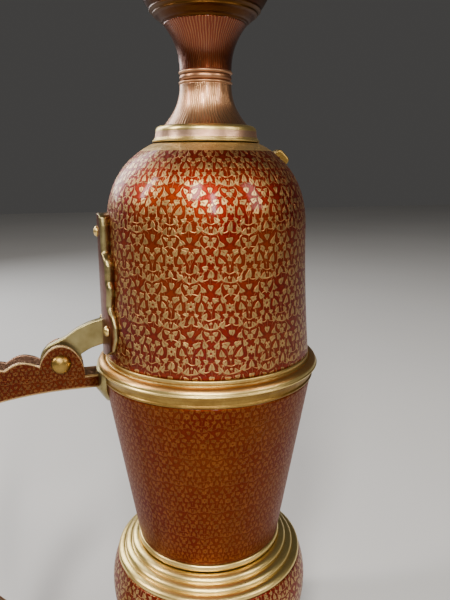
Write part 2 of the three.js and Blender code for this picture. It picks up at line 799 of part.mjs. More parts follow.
function hingeWeb() {
  const hole = circle(pinReach, pinLevel, PIN_RADIUS + PIN_CLEARANCE);
  const plate = solid(upright(webOutline(), WEB_SHEET, 0, [hole]));
  const room = disc(hoodPlateRadius + GAP, hoodRingLevel, pinLevel, WIDE_SEGMENTS);
  return geometryOf(plate.subtract(solid(room)));
}

// Half of the plate's outline: a wide rounded tongue, two lobes above it and a narrow head.
function plateHalf(foot) {
  const tongue = steps(7).map((s) => [
    TONGUE_HALF_WIDTH * Math.sin(TONGUE_END * s),
    TONGUE_ROUND * (1 - Math.cos(TONGUE_END * s)),
  ]);
  const lobe = (i) => steps(4).slice(0, -1).map((s) => [
    mix(LOBE_WIDTHS[i], LOBE_WIDTHS[i + 1], s) + LOBE_BULGE * Math.sin(Math.PI * s),
    mix(LOBE_LEVELS[i], LOBE_LEVELS[i + 1], s),
  ]);
  const head = [
    [HEAD_HALF_WIDTHS[0], LOBE_LEVELS[2] + 1],
    [HEAD_HALF_WIDTHS[1], PLATE_HEIGHT],
    [0, PLATE_HEIGHT],
  ];
  return [...tongue, ...lobe(0), ...lobe(1), ...head].map(([y, z]) => [y, foot + z]);
}

// A casting with an upright outer face, filed inside to fit the hood.
function hoodPlate() {
  const outline = bothSides(plateHalf(hoodLevel + GAP));
  const block = solid(facing(outline, pinReach));
  const face = solid(disc(hoodPlateRadius, hoodLevel, PLATE_HEIGHT + 2, WIDE_SEGMENTS));
  const plate = block.intersect(face).subtract(core(inset(hoodProfile, -GAP)));
  return geometryOf(cutHoles(plate, Object.values(hoodSeats)));
}

// A squared lug on the dome, opposite the hinge, for the thumb that lifts the hood.
function liftLug() {
  const [low, high] = [LUG_ROOT_SHARE, LUG_HEAD_SHARE].map(domePoint);
  const along = Math.hypot(high[0] - low[0], high[1] - low[1]);
  const slope = [(high[0] - low[0]) / along, (high[1] - low[1]) / along];
  const place = (run, rise) => [
    -(low[0] + slope[0] * run + slope[1] * rise),
    low[1] + slope[1] * run - slope[0] * rise,
  ];
  const outline = [
    place(0, -LUG_ROUND),
    place(0, LUG_PROUD - LUG_ROUND),
    place(LUG_ROUND, LUG_PROUD),
    place(LUG_LENGTH - LUG_ROUND, LUG_PROUD),
    place(LUG_LENGTH, LUG_PROUD - LUG_ROUND),
    place(LUG_LENGTH, -LUG_ROUND),
  ];
  const block = solid(upright(outline, LUG_WIDTH, 0));
  return geometryOf(block.subtract(core(inset(hoodProfile, -GAP))));
}

// ---------------------------------------------------------------- assembly

const LACQUER = { color: 0x8c2a12, roughness: 0.3, metalness: 0.85 };
const BRASS = { color: 0xa8924e, roughness: 0.32, metalness: 1 };
const CAST_BRASS = { color: 0xb5ac7c, roughness: 0.42, metalness: 1 };
const COPPER = { color: 0xb0694a, roughness: 0.3, metalness: 1 };
const DARK_BRASS = { color: 0x4a3c1c, roughness: 0.4, metalness: 1 };

const ewer = new THREE.Group();

function add(name, geometry, finish) {
  const mesh = new THREE.Mesh(geometry, new THREE.MeshStandardMaterial(finish));
  mesh.name = name;
  ewer.add(mesh);
}

const bandWall = CUP_BAND_PROUD + SHEET;
add('foot_ring', shell(footProfile(), FOOT_SHEET, WIDE_SEGMENTS), BRASS);
add('base_plate', basePlate(), DARK_BRASS);
add('waist_bead', waistBead(), BRASS);
const bulb = bulbHalves();
add('bulb_lower', bulb.lower, LACQUER);
add('bulb_upper', bulb.upper, LACQUER);
add('bulb_floor', bulbFloor(), DARK_BRASS);
add('step_collar', stepCollar(), BRASS);
const seatRadius = CUP_FOOT_RADIUS + SHEET / 2;
add('seat_band', band(seatRadius, seatBandLevel, SEAT_BAND_HEIGHT, 1.5 * SHEET, WIDE_SEGMENTS), BRASS);
add('cup_shell', cup(), LACQUER);
add('cup_band', band(bandRadius, cupBandLevel, CUP_BAND_HEIGHT, bandWall, WIDE_SEGMENTS), BRASS);
add('rim_flange', rimFlange(), COPPER);

add('hood_ring', hoodRing(), BRASS);
add('hood_sleeve', hoodSleeve(), DARK_BRASS);
add('hood_shell', hood(), LACQUER);
add('shoulder_collar', shoulderCollar(), BRASS);
add('neck_lower', neckLower(), LACQUER);
add('neck_bead', neckBead(), BRASS);
add('neck_upper', neckUpper(), LACQUER);
add('mouth_cup', mouthCup(), DARK_BRASS);
add('mouth_lip', mouthLip(), BRASS);
add('hood_plate', hoodPlate(), CAST_BRASS);
add('hinge_web', hingeWeb(), CAST_BRASS);
add('lift_lug', liftLug(), CAST_BRASS);
for (const [name, place] of Object.entries(hoodSeats)) {
  const thickness = hoodPlateRadius - place.radius - GAP;
  add(`hood_rivet_${name}`, rivet(place, thickness), BRASS);
}

add('handle_cheek_near', cheek(-1), LACQUER);
add('handle_cheek_far', cheek(1), LACQUER);
add('handle_sole', sole(), CAST_BRASS);
add('upper_handle_plate', upperPlate(), CAST_BRASS);
add('lower_handle_plate', lowerPlate(), CAST_BRASS);
for (const [name, place] of Object.entries(lowerSeats)) {
  add(`lower_plate_rivet_${name}`, rivet(place, LOWER_PLATE_SHEET), BRASS);
}
add('hinge_pin', hingePin(), CAST_BRASS);
add('pin_rove', pinRove(), CAST_BRASS);
add('spacer_washer_near', washer(-1), BRASS);
add('spacer_washer_far', washer(1), BRASS);

export default ewer;
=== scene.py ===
"""An engraved brass ewer with a hinged hood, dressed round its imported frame.

Lengths are in metres in the frame's own axes: +Z up, the handle towards -X, and the foot on z = 0.
Turned pieces are profiles carried round the axis. The handle's cheeks, sole and web are slabs
between two edge curves, and the plates are pads bent round the body.
"""

import json
import logging
from dataclasses import dataclass
from enum import Enum
from typing import Any, Callable, Sequence

import bmesh
import bpy
import numpy as np
from mathutils import Matrix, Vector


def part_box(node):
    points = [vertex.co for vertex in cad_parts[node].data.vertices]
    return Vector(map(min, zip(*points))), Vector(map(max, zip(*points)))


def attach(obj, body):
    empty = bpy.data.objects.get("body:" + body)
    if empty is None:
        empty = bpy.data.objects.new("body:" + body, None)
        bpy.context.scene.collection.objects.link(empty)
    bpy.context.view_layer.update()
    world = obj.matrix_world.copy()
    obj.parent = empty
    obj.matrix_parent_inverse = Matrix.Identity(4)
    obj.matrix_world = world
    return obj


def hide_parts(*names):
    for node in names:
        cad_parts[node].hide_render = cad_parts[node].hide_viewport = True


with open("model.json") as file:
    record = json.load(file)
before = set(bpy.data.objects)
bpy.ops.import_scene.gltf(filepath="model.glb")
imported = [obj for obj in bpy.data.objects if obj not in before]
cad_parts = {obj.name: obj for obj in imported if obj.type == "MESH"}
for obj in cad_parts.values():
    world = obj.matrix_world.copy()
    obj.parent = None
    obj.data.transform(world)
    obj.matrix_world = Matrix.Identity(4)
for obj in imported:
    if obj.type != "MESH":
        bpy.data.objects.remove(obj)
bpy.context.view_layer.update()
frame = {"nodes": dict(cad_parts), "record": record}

MM = 0.001
TURN = 2 * np.pi
LOG = logging.getLogger("ewer")
Curve = np.ndarray
Number = "Value | float"


class Body(Enum):
    """The frame's two rigid bodies."""

    JUG = "jug"
    HOOD = "hood"


class Slot(Enum):
    """The record's material slots."""

    LACQUER = "red_lacquer"
    TURNED = "turned_brass"
    CAST = "cast_brass"
    COPPER = "copper_tone"
    DARK = "dark_brass"


# ------------------------------------------------------------------ shader values


class Value:
    """A number that varies over a surface. Arithmetic on it adds Math nodes."""

    def __init__(self, graph: "Graph", socket: Any) -> None:
        """Keeps the socket and the graph that it belongs to."""
        self.graph = graph
        self.socket = socket

    def math(self, operation: str, *others: Number, clamp: bool = False) -> "Value":
        """Adds one Math node.

        Args:
            operation: The node's operation.
            others: Its second and third inputs.
            clamp: Whether the result is held between 0 and 1.

        Returns:
            The node's result.
        """
        inputs = dict(enumerate((self, *others)))
        settings = {"operation": operation, "use_clamp": clamp}
        return self.graph.value("ShaderNodeMath", settings, inputs)

    def __add__(self, other: Number) -> "Value":
        """The sum."""
        return self.math("ADD", other)

    __radd__ = __add__

    def __sub__(self, other: Number) -> "Value":
        """The difference."""
        return self.math("SUBTRACT", other)

    def __rsub__(self, other: Number) -> "Value":
        """The difference from a number."""
        return (self * -1.0) + other

    def __mul__(self, other: Number) -> "Value":
        """The product."""
        return self.math("MULTIPLY", other)

    __rmul__ = __mul__

    def __abs__(self) -> "Value":
        """The size without its sign."""
        return self.math("ABSOLUTE")

    def times_plus(self, scale: Number, shift: Number) -> "Value":
        """This value scaled and then shifted."""
        return self.math("MULTIPLY_ADD", scale, shift)

    def below(self, other: Number) -> "Value":
        """The lesser of two values."""
        return self.math("MINIMUM", other)

    def above(self, other: Number) -> "Value":
        """The greater of two values."""
        return self.math("MAXIMUM", other)

    def inside(self, softness: float) -> "Value":
        """One where this signed distance is negative, easing to zero over the softness."""
        return self.math("MULTIPLY_ADD", -1.0 / softness, 0.5, clamp=True)


class Graph:
    """A material's node tree, and the few ways in which nodes are added to it."""

    def __init__(self, name: str) -> None:
        """Starts an empty material of this name."""
        self.material = bpy.data.materials.new(name)
        self.material.use_nodes = True
        self.tree = self.material.node_tree
        self.tree.nodes.clear()

    def node(self, kind: str, settings: dict | None = None, inputs: dict | None = None) -> Any:
        """Adds any node.

        Args:
            kind: The node's type.
            settings: Its own settings.
            inputs: Values or links by socket name or number.

        Returns:
            The node.
        """
        node = self.tree.nodes.new(kind)
        for key, setting in (settings or {}).items():
            setattr(node, key, setting)
        for key, given in (inputs or {}).items():
            if isinstance(given, Value):
                self.tree.links.new(given.socket, node.inputs[key])
            else:
                node.inputs[key].default_value = given
        return node

    def value(self, kind: str, settings: dict | None = None, inputs: dict | None = None,
              output: int | str = 0) -> Value:
        """Adds a node and returns one of its outputs."""
        return Value(self, self.node(kind, settings, inputs).outputs[output])

    def mix(self, factor: Number, first: Any, second: Any) -> Value:
        """Goes from the first colour to the second with the factor."""
        settings = {"data_type": "RGBA"}
        return self.value("ShaderNodeMix", settings, {0: factor, 6: first, 7: second}, 2)

    def noise(self, vector: Value, scale: float, detail: float = 2.0) -> Value:
        """Fractal noise between 0 and 1."""
        inputs = {"Vector": vector, "Scale": scale, "Detail": detail}
        return self.value("ShaderNodeTexNoise", None, inputs, "Fac")

    def combine(self, x: Number, y: Number, z: Number = 0.0) -> Value:
        """A vector from its three parts."""
        return self.value("ShaderNodeCombineXYZ", None, {0: x, 1: y, 2: z})

    def across_and_along(self) -> tuple[Value, Value]:
        """The piece's own map: turns round the axis or metres, and metres along the profile."""
        mapped = self.value("ShaderNodeUVMap", {"uv_map": "UVMap"})
        parts = self.node("ShaderNodeSeparateXYZ", None, {0: mapped})
        return Value(self, parts.outputs[0]), Value(self, parts.outputs[1])

    def place(self) -> Value:
        """The point on the piece, in metres."""
        return self.value("ShaderNodeTexCoord", None, None, "Object")

    def axis(self, letter: str) -> Value:
        """One of the piece's own coordinates, in metres."""
        return self.value("ShaderNodeSeparateXYZ", None, {"Vector": self.place()}, letter)

    def edge(self) -> Value:
        """One along the piece's worn edges, and on the neck ring's edges and the mouth's ridges as a
        painted highlight.
        """
        return self.value("ShaderNodeAttribute", {"attribute_name": "edge"}, None, "Fac")

    def bump(self, height: Value, depth: float, strength: float = 1.0) -> Value:
        """A normal that follows a height."""
        inputs = {"Height": height, "Distance": depth, "Strength": strength}
        return self.value("ShaderNodeBump", None, inputs)

    def finish(self, inputs: dict) -> bpy.types.Material:
        """Closes the tree with one Principled BSDF.

        Args:
            inputs: Values, colours or links by socket name.

        Returns:
            The finished material.
        """
        shader = self.value("ShaderNodeBsdfPrincipled", None, inputs)
        self.node("ShaderNodeOutputMaterial", None, {"Surface": shader})
        return self.material


# ------------------------------------------------------------------ finishes


RGBA = tuple[float, float, float, float]


@dataclass(frozen=True)
class Leaf:
    """A heart-shaped leaf of the engraving, placed in its half cell, in millimetres."""

    across: float
    up: float
    heading: float
    size: float


@dataclass(frozen=True)
class Tendril:
    """A part of a circle in the half cell: the part below or above a level, in millimetres."""

    across: float
    up: float
    radius: float
    level: float
    keeps_below: bool = True
    width: float = 0.22
    stretch: float = 1.0


HALF_CELL = 7.45
HALF_ROW = 8.75
CELL_SHIFT = 0.39
ROW_SHIFT = 0.1
PETALS = 8
CHEEK_INNER_FACE = 5.1 * MM
PLAIN_BORDER = 3.2 * MM
LEAVES = (
    Leaf(4.0, 0.2, 100, 1.32),
    Leaf(5.1, 3.2, 150, 1.19),
    Leaf(2.6, 3.2, 60, 1.23),
    Leaf(4.2, 6.3, 110, 1.19),
    Leaf(1.9, 7.6, 40, 1.06),
    Leaf(0.0, 5.2, -90, 1.32),
    Leaf(5.4, -3.2, 60, 1.19),
    Leaf(3.1, -6.4, 130, 1.19),
    Leaf(5.9, -7.0, 75, 1.14),
    Leaf(0.0, -5.2, 90, 1.32),
    Leaf(7.3, 7.1, -90, 1.10),
    Leaf(2.3, -3.2, 20, 0.97),
    Leaf(7.4, 0.8, 90, 1.01),
)
TENDRILS = (
    Tendril(7.45, -0.4, 5.9, 6.0, True, 0.13, 1.36),
    Tendril(7.45, -2.4, 2.6, -1.4, True, 0.11),
    Tendril(0.0, 1.6, 3.2, 2.4, False, 0.11),
    Tendril(2.1, -5.6, 1.9, -4.6, True, 0.11),
    Tendril(1.6, 7.2, 2.2, 7.0, False, 0.11),
)


@dataclass(frozen=True)
class EngravedLacquer:
    """Brass cut with rosettes, leaves and tendrils, over which translucent red lacquer lies.

    The cell repeats round the piece and up it, and each row is shifted by half a cell.
    """

    name: str
    repeats: float
    row: float = 2 * HALF_ROW * MM
    gold: RGBA = (0.6, 0.37, 0.13, 1)
    ground: RGBA = (0.21, 0.008, 0.003, 1)
    outline: RGBA = (0.016, 0.002, 0.001, 1)
    warm: RGBA = (0.25, 0.035, 0.005, 1)
    roughness: float = 0.34
    relief: float = 0.00012
    coat: float = 0.25
    flat: bool = False
    border: float = 1.0

    def material(self) -> bpy.types.Material:
        """Builds the material."""
        g = Graph(self.name)
        across, up = self._cell(g)
        distance = self._motifs(g, across, up)
        cut = distance.inside(0.22)
        line = abs(distance - 0.4).inside(0.75)
        place = g.place()
        broad = g.noise(place, 45.0, 1.0)
        stipple = g.noise(place, 2400.0, 1.0)
        ground = g.mix(broad.times_plus(2.2, -0.7), self.ground, self.warm)
        ground = g.mix(line * 0.85, ground, self.outline)
        tone = g.noise(place, 420.0, 1.0).times_plus(1.6, -0.3)
        dull = tuple(0.55 * part for part in self.gold[:3]) + (1,)
        leaf = g.mix(tone, dull, self.gold)
        edge = g.edge()
        colour = g.mix(edge, g.mix(cut, ground, leaf), (0.5, 0.34, 0.16, 1))
        colour = self._plain(g, colour, tone)
        height = cut + stipple * (1.0 - cut) * 0.55
        rough = self.roughness + (1.0 - cut) * 0.1 + broad * 0.06
        return g.finish({
            "Base Color": colour, "Metallic": 1.0, "Roughness": rough,
            "Coat Weight": self.coat, "Coat Roughness": 0.12,
            "Normal": g.bump(height, self.relief),
        })

    def _plain(self, g: Graph, colour: Value, tone: Value) -> Value:
        """Leaves plain the hidden side of a flat cheek, darkened to a pinkish brown as painted shade and
        reflection, or the border at a dome's top.
        """
        if self.flat:
            inner = abs(g.axis("Y")).math("LESS_THAN", CHEEK_INNER_FACE)
            # The cheek's inner face: plain brass darkened to a pinkish brown, a painted shade and painted
            # reflection between the cheeks.
            painted_shade_plain = g.mix(tone, (0.24, 0.13, 0.085, 1), (0.34, 0.2, 0.13, 1))
            return g.mix(inner, colour, painted_shade_plain)
        brass = g.mix(tone, (0.5, 0.3, 0.1, 1), (0.66, 0.45, 0.18, 1))
        return g.mix(g.axis("Z").math("GREATER_THAN", self.border), colour, brass)

    def _cell(self, g: Graph) -> tuple[Value, Value]:
        """Folds the piece's map into one half cell.

        Each row is half a cell out of step with the next, and the cell is folded about its
        middle, so the motifs are drawn once for both sides. A slow noise bends the lines.

        Returns:
            The distance from the cell's middle line and the height over its middle, in mm.
        """
        around, along = (g.axis("X"), g.axis("Z")) if self.flat else g.across_and_along()
        place = g.place()
        sway = g.noise(place, 150.0, 1.0) - 0.5
        rows = along * (1.0 / self.row) - ROW_SHIFT
        index = rows.math("FLOOR")
        shift = index.math("MODULO", 2.0) * 0.5
        cells = around * self.repeats + shift - CELL_SHIFT
        across = (cells.math("FRACT") - 0.5) * (2 * HALF_CELL)
        up = (rows.math("FRACT") - 0.5) * (2 * HALF_ROW)
        return abs(across + sway * 2.4), up + sway * 2.6

    def _motifs(self, g: Graph, across: Value, up: Value) -> Value:
        """The least signed distance to any motif, negative inside it, in mm."""
        shapes = [self._rosette(across, up)]
        shapes += [self._leaf(leaf, across, up) for leaf in LEAVES]
        shapes += [self._tendril(tendril, across, up) for tendril in TENDRILS]
        shapes.append(self._dots(g, across, up))
        least = shapes[0]
        for shape in shapes[1:]:
            least = least.below(shape)
        return least

    @staticmethod
    def _rosette(across: Value, up: Value) -> Value:
        """Eight petals about the cell's middle: a circle whose radius follows cos 8a."""
        radius = (across * across + up * up).math("SQRT")
        angle = up.math("ARCTAN2", across)
        petals = (angle * PETALS).math("COSINE") * 0.28
        return (radius - petals - 1.5).above(0.5 - radius)

    @staticmethod
    def _leaf(leaf: Leaf, across: Value, up: Value) -> Value:
        """A heart: as wide as (1 - s) times the root of (1 + s) at each s along it."""
        turn = np.radians(leaf.heading)
        cos, sin = np.cos(turn) / leaf.size, np.sin(turn) / leaf.size
        along = across.times_plus(cos, up.times_plus(sin, -(leaf.across * cos + leaf.up * sin)))
        side = across.times_plus(-sin, up.times_plus(cos, leaf.across * sin - leaf.up * cos))
        side = abs(side)
        notched = side.times_plus(0.45, along)
        width = (1.0 - notched) * (notched + 1.0).above(0.0).math("SQRT")
        body = (side - width * 0.78) * leaf.size
        vein = 0.11 * leaf.size - (side * leaf.size).above(abs(along + 0.1) * 0.3)
        return body.above(vein)

    @staticmethod
    def _tendril(tendril: Tendril, across: Value, up: Value) -> Value:
        """The distance to a circle's line, cut off at a level."""
        x = across - tendril.across
        y = (up - tendril.up) * (1.0 / tendril.stretch)
        ring = abs((x * x + y * y).math("SQRT") - tendril.radius) - tendril.width
        cut = up - tendril.level
        return ring.above(cut if tendril.keeps_below else cut * -1.0)

    @staticmethod
    def _dots(g: Graph, across: Value, up: Value) -> Value:
        """Small punched dots strewn over the ground."""
        inputs = {"Vector": g.combine(across, up), "Scale": 0.42, "Randomness": 1.0}
        return g.value("ShaderNodeTexVoronoi", None, inputs, "Distance") * 2.4 - 0.42


@dataclass(frozen=True)
class FlutedLacquer:
    """Brass cut with long fine strokes, under red-brown lacquer."""

    name: str
    shade: RGBA
    brown: RGBA
    stroke: RGBA
    strokes: float = 84.0
    slant: float = 22.0

    def material(self) -> bpy.types.Material:
        """Builds the material: stripes round the piece that lean as they climb."""
        g = Graph(self.name)
        around, along = g.across_and_along()
        place = g.place()
        drift = g.noise(place, 160.0, 2.0) - 0.5
        phase = around * self.strokes + along * self.slant + drift * 1.6
        wave = (phase * TURN).math("SINE")
        breaks = g.noise(g.combine(around * 90.0, along * 160.0), 1.0, 1.0)
        stroke = (wave * -1.0 + (0.72 - breaks) * 1.6).inside(1.1)
        broad = g.noise(place, 60.0, 1.0)
        brown = g.mix(broad, self.shade, self.brown)
        colour = g.mix(stroke * 0.5, brown, self.stroke)
        return g.finish({
            "Base Color": colour, "Metallic": 1.0, "Roughness": stroke * -0.06 + 0.33,
            "Coat Weight": 0.35, "Coat Roughness": 0.15,
            "Normal": g.bump(stroke, 0.00006),
        })


@dataclass(frozen=True)
class TurnedBrass:
    """Brass off the lathe: fine rings, and a brown film left in the hollows."""

    name: str
    bright: RGBA = (0.78, 0.56, 0.19, 1)
    film: RGBA = (0.34, 0.2, 0.055, 1)
    filmed: float = 0.45
    roughness: float = 0.3

    def material(self) -> bpy.types.Material:
        """Builds the material."""
        g = Graph(self.name)
        around, along = g.across_and_along()
        place = g.place()
        rings = g.noise(g.combine(around * 3.0, along * 9000.0), 1.0, 2.0)
        patches = g.noise(place, 70.0, 3.0)
        specks = g.noise(place, 900.0, 2.0)
        film = patches.times_plus(1.8, -0.9 + self.filmed)
        film = (film + (specks - 0.5) * 0.5).above(0.0).below(1.0)
        # Film thins where the edge attribute is set: wear on worn edges, and a painted highlight on the
        # neck ring's edges and the mouth's ridges.
        wear_and_sheen_mask = g.edge()
        colour = g.mix(film * (1.0 - wear_and_sheen_mask * 0.8), self.bright, self.film)
        rough = self.roughness + film * 0.14 + (specks - 0.5) * 0.08
        return g.finish({
            "Base Color": colour, "Metallic": 1.0, "Roughness": rough,
            "Normal": g.bump(rings, 0.00003),
        })


@dataclass(frozen=True)
class CastBrass:
    """Pale cast brass, filed and handled: soft pits and a satin face."""

    name: str
    pale: RGBA = (0.40, 0.34, 0.16, 1)
    shade: RGBA = (0.2, 0.15, 0.055, 1)
    face: RGBA | None = None
    roughness: float = 0.36

    def material(self) -> bpy.types.Material:
        """Builds the material, with its face in another colour where one is given."""
        g = Graph(self.name)
        place = g.place()
        broad = g.noise(place, 130.0, 3.0)
        pits = g.noise(place, 700.0, 2.0)
        colour = g.mix(broad.times_plus(1.9, -0.5), self.shade, self.pale)
        if self.face is not None:
            wear_and_sheen_mask = g.edge().times_plus(1.0, (pits - 0.5) * 0.6)
            lacquer = g.mix(broad, self.face, tuple(0.5 * c for c in self.face[:3]) + (1,))
            colour = g.mix(wear_and_sheen_mask.above(0.0).below(1.0), lacquer, colour)
        return g.finish({
            "Base Color": colour, "Metallic": 1.0,
            "Roughness": broad * 0.12 + (self.roughness - 0.06),
            "Normal": g.bump(broad * 0.6 + pits * 0.4, 0.00015),
        })


class Finishes:
    """Every finish that the ewer uses, made once."""

    def __init__(self) -> None:
        """Builds the materials."""
        border = float(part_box("hood_shell")[1].z) - PLAIN_BORDER
        self.hood = EngravedLacquer("hood_lacquer", 18.0, border=border).material()
        self.cup = EngravedLacquer(
            "cup_lacquer", repeats=24.0, row=13.5 * MM, gold=(0.24, 0.075, 0.013, 1),
            ground=(0.135, 0.011, 0.002, 1), outline=(0.075, 0.008, 0.001, 1),
            warm=(0.17, 0.036, 0.004, 1), roughness=0.42, relief=0.00008, coat=0.06).material()
        self.bulb = EngravedLacquer("bulb_lacquer", 20.0, 15.5 * MM, coat=0.15).material()
        self.cheek = EngravedLacquer(
            "cheek_lacquer", repeats=1.0 / (8.5 * MM), row=9.5 * MM, gold=(0.19, 0.075, 0.02, 1),
            ground=(0.1, 0.01, 0.003, 1), outline=(0.03, 0.004, 0.001, 1),
            warm=(0.13, 0.025, 0.005, 1), roughness=0.4, relief=0.0001, coat=0.1,
            flat=True).material()
        self.flutes = FlutedLacquer(
            "fluted_lacquer", (0.3, 0.1, 0.045, 1), (0.46, 0.22, 0.1, 1),
            (0.72, 0.52, 0.27, 1)).material()
        self.dark_flutes = FlutedLacquer(
            "dark_fluted_lacquer", (0.09, 0.01, 0.003, 1), (0.16, 0.03, 0.008, 1),
            (0.3, 0.13, 0.045, 1)).material()
        self.brass = TurnedBrass("turned_brass").material()
        self.bright = TurnedBrass(
            "bright_brass", (0.9, 0.68, 0.25, 1), (0.5, 0.33, 0.1, 1), 0.25, 0.29).material()
        self.copper = TurnedBrass(
            "copper_tone", (0.68, 0.38, 0.12, 1), (0.44, 0.19, 0.05, 1), 0.3, 0.3).material()
        self.pink = TurnedBrass(
            "rosy_band", (0.8, 0.54, 0.36, 1), (0.5, 0.24, 0.14, 1), 0.45, 0.3).material()
        self.ring = TurnedBrass(
            "neck_ring_brass", (0.5, 0.27, 0.14, 1), (0.24, 0.08, 0.035, 1), 0.5, 0.3).material()
        self.olive = TurnedBrass(
            "olive_brass", (0.4, 0.26, 0.07, 1), (0.18, 0.09, 0.02, 1), 0.5, 0.3).material()
        self.dark = TurnedBrass(
            "dark_brass", (0.2, 0.12, 0.04, 1), (0.1, 0.05, 0.018, 1), 0.5, 0.34).material()
        self.mouth = TurnedBrass(
            "mouth_lacquer", (0.085, 0.036, 0.007, 1), (0.045, 0.007, 0.002, 1), 0.5, 0.32).material()
        self.cast = CastBrass("cast_brass").material()
        self.plate = CastBrass("plate_brass", face=(0.22, 0.045, 0.015, 1)).material()


# ------------------------------------------------------------------ surfaces


def fillet(corners: Sequence[tuple[float, float]], radius: float, steps: int = 5) -> Curve:
    """Rounds the inner corners of an open outline.

    Each corner becomes a quadratic curve from a point before it to a point after it, at most
    the radius away and never past the middle of a side, with a point just outside either end.

    Args:
        corners: The outline's corners.
        radius: How far before and after a corner its curve starts and ends.
        steps: Points on each curve, less one.

    Returns:
        The rounded outline.
    """
    p = np.array(corners, float)
    pieces = [p[:1]]
    t = np.linspace(0, 1, steps + 1)[:, None]
    for before, corner, after in zip(p, p[1:], p[2:]):
        back, on = before - corner, after - corner
        reach_back = min(radius, 0.45 * np.linalg.norm(back))
        reach_on = min(radius, 0.45 * np.linalg.norm(on))
        first = corner + back / np.linalg.norm(back) * reach_back
        last = corner + on / np.linalg.norm(on) * reach_on
        lead = first + (first - corner) * 0.08
        trail = last + (last - corner) * 0.08
        curve = (1 - t) ** 2 * first + 2 * t * (1 - t) * corner + t**2 * last
        pieces.append(np.vstack([lead, curve, trail]))
    pieces.append(p[-1:])
    return np.vstack(pieces)


def run_length(curve: Curve) -> Curve:
    """The length from a curve's first point to each of its points."""
    return np.concatenate([[0.0], np.cumsum(np.linalg.norm(np.diff(curve, axis=0), axis=1))])


def resample(curve: Curve, count: int) -> Curve:
    """The same curve with evenly spaced points."""
    run = run_length(curve)
    even = np.linspace(0, run[-1], count)
    return np.column_stack([np.interp(even, run, axis) for axis in curve.T])


def moved_in(profile: Curve, distance: float) -> Curve:
    """A profile moved square to itself, towards the axis where it climbs."""
    slope = np.gradient(profile, axis=0)
    slope /= np.linalg.norm(slope, axis=1, keepdims=True)
    return profile + distance * np.column_stack([-slope[:, 1], slope[:, 0]])


def catmull(points: Sequence[tuple[float, float]], per_span: int = 24) -> Curve:
    """A uniform Catmull-Rom curve through points, with its ends held.

    Each span is the cubic whose slope at either end is half the step between the neighbours.
    """
    p = np.array(points, float)
    p = np.vstack([p[:1], p, p[-1:]])
    t = np.linspace(0, 1, per_span, endpoint=False)[:, None, None]
    a, b, c, d = p[:-3], p[1:-2], p[2:-1], p[3:]
    cubic = 0.5 * (2 * b + (c - a) * t + (2 * a - 5 * b + 4 * c - d) * t**2
                   + (3 * b - a - 3 * c + d) * t**3)
    spans = cubic.transpose(1, 0, 2).reshape(-1, 2)
    return np.vstack([spans, p[-1:]])


@dataclass
class Skin:
    """A grid of points with its map, ready to become a mesh."""

    points: np.ndarray
    u: np.ndarray
    v: np.ndarray
    wrap_rows: bool = False
    wrap_cols: bool = True
    edge: np.ndarray | None = None
    inner_row: int | None = None

    def mesh(self, name: str) -> bpy.types.Mesh:
        """Makes the mesh: a quad for each cell of the grid, and a cap on each open end.

        Args:
            name: The mesh's name.

        Returns:
            A closed mesh with its faces out, its map, and its edge wear and painted highlight.
        """
        rows, cols = self.points.shape[:2]
        i = np.arange(rows if self.wrap_rows else rows - 1)[:, None]
        j = np.arange(cols if self.wrap_cols else cols - 1)[None, :]
        down, right = (i + 1) % rows, (j + 1) % cols
        quads = np.stack([i * cols + j, i * cols + right, down * cols + right, down * cols + j], -1)
        u_corners = np.stack([self.u[j], self.u[j + 1], self.u[j + 1], self.u[j]], -1)
        v_corners = np.stack([self.v[i], self.v[i], self.v[i + 1], self.v[i + 1]], -1)
        shape = quads.shape
        quads = quads.reshape(-1, 4)
        corners = np.stack([np.broadcast_to(u_corners, shape), np.broadcast_to(v_corners, shape)], -1)
        caps = [] if self.wrap_rows else [np.arange(cols), np.arange(cols) + (rows - 1) * cols]
        cap_map = np.zeros((cols * len(caps), 2))
        mesh = bpy.data.meshes.new(name)
        faces = quads.tolist() + [cap.tolist() for cap in caps]
        mesh.from_pydata(self.points.reshape(-1, 3).tolist(), [], faces)
        layer = mesh.uv_layers.new(name="UVMap")
        layer.data.foreach_set("uv", np.vstack([corners.reshape(-1, 2), cap_map]).ravel())
        wear_and_sheen = mesh.attributes.new("edge", "FLOAT", "POINT")
        edge = np.zeros((rows, cols)) if self.edge is None else np.broadcast_to(self.edge, (rows, cols))
        wear_and_sheen.data.foreach_set("value", np.ascontiguousarray(edge, dtype=np.float32).ravel())
        inner = np.zeros(len(faces), dtype=np.int32)
        if self.inner_row is not None:
            inner[: len(quads)] = np.repeat(i.ravel() >= self.inner_row, shape[1])
        mesh.polygons.foreach_set("material_index", inner)
        mesh.polygons.foreach_set("use_smooth", np.ones(len(faces), dtype=bool))
        self._close(mesh)
        return mesh

    @staticmethod
    def _close(mesh: bpy.types.Mesh) -> None:
        """Merges the points that meet at poles and turns all faces outwards."""
        work = bmesh.new()
        work.from_mesh(mesh)
        bmesh.ops.remove_doubles(work, verts=work.verts, dist=2e-7)
        bmesh.ops.recalc_face_normals(work, faces=work.faces)
        work.to_mesh(mesh)
        work.free()


def revolve(profile: Curve, segments: int = 256, closed: bool = True,
            inner_row: int | None = None, edge: np.ndarray | None = None) -> Skin:
    """Carries a profile of radii and heights round the axis.

    The point at angle a of profile point (r, z) is (r cos a, r sin a, z).

    Args:
        profile: Radii and heights, in order round the section.
        segments: Steps in the full turn.
        closed: Whether the section closes on itself, or else starts and ends on the axis.
        inner_row: The profile point from which the faces are on the inside.
        edge: The wear and painted highlight at each profile point.

    Returns:
        The grid, whose map is turns round the axis and metres along the profile.
    """
    angle = np.linspace(0, TURN, segments, endpoint=False)
    radius, height = profile[:, :1], profile[:, 1:]
    points = np.stack([radius * np.cos(angle), radius * np.sin(angle),
                       np.broadcast_to(height, (len(profile), segments))], -1)
    run = run_length(np.vstack([profile, profile[:1]]))
    return Skin(points, np.arange(segments + 1) / segments, run, closed, True,
                None if edge is None else edge[:, None], inner_row)


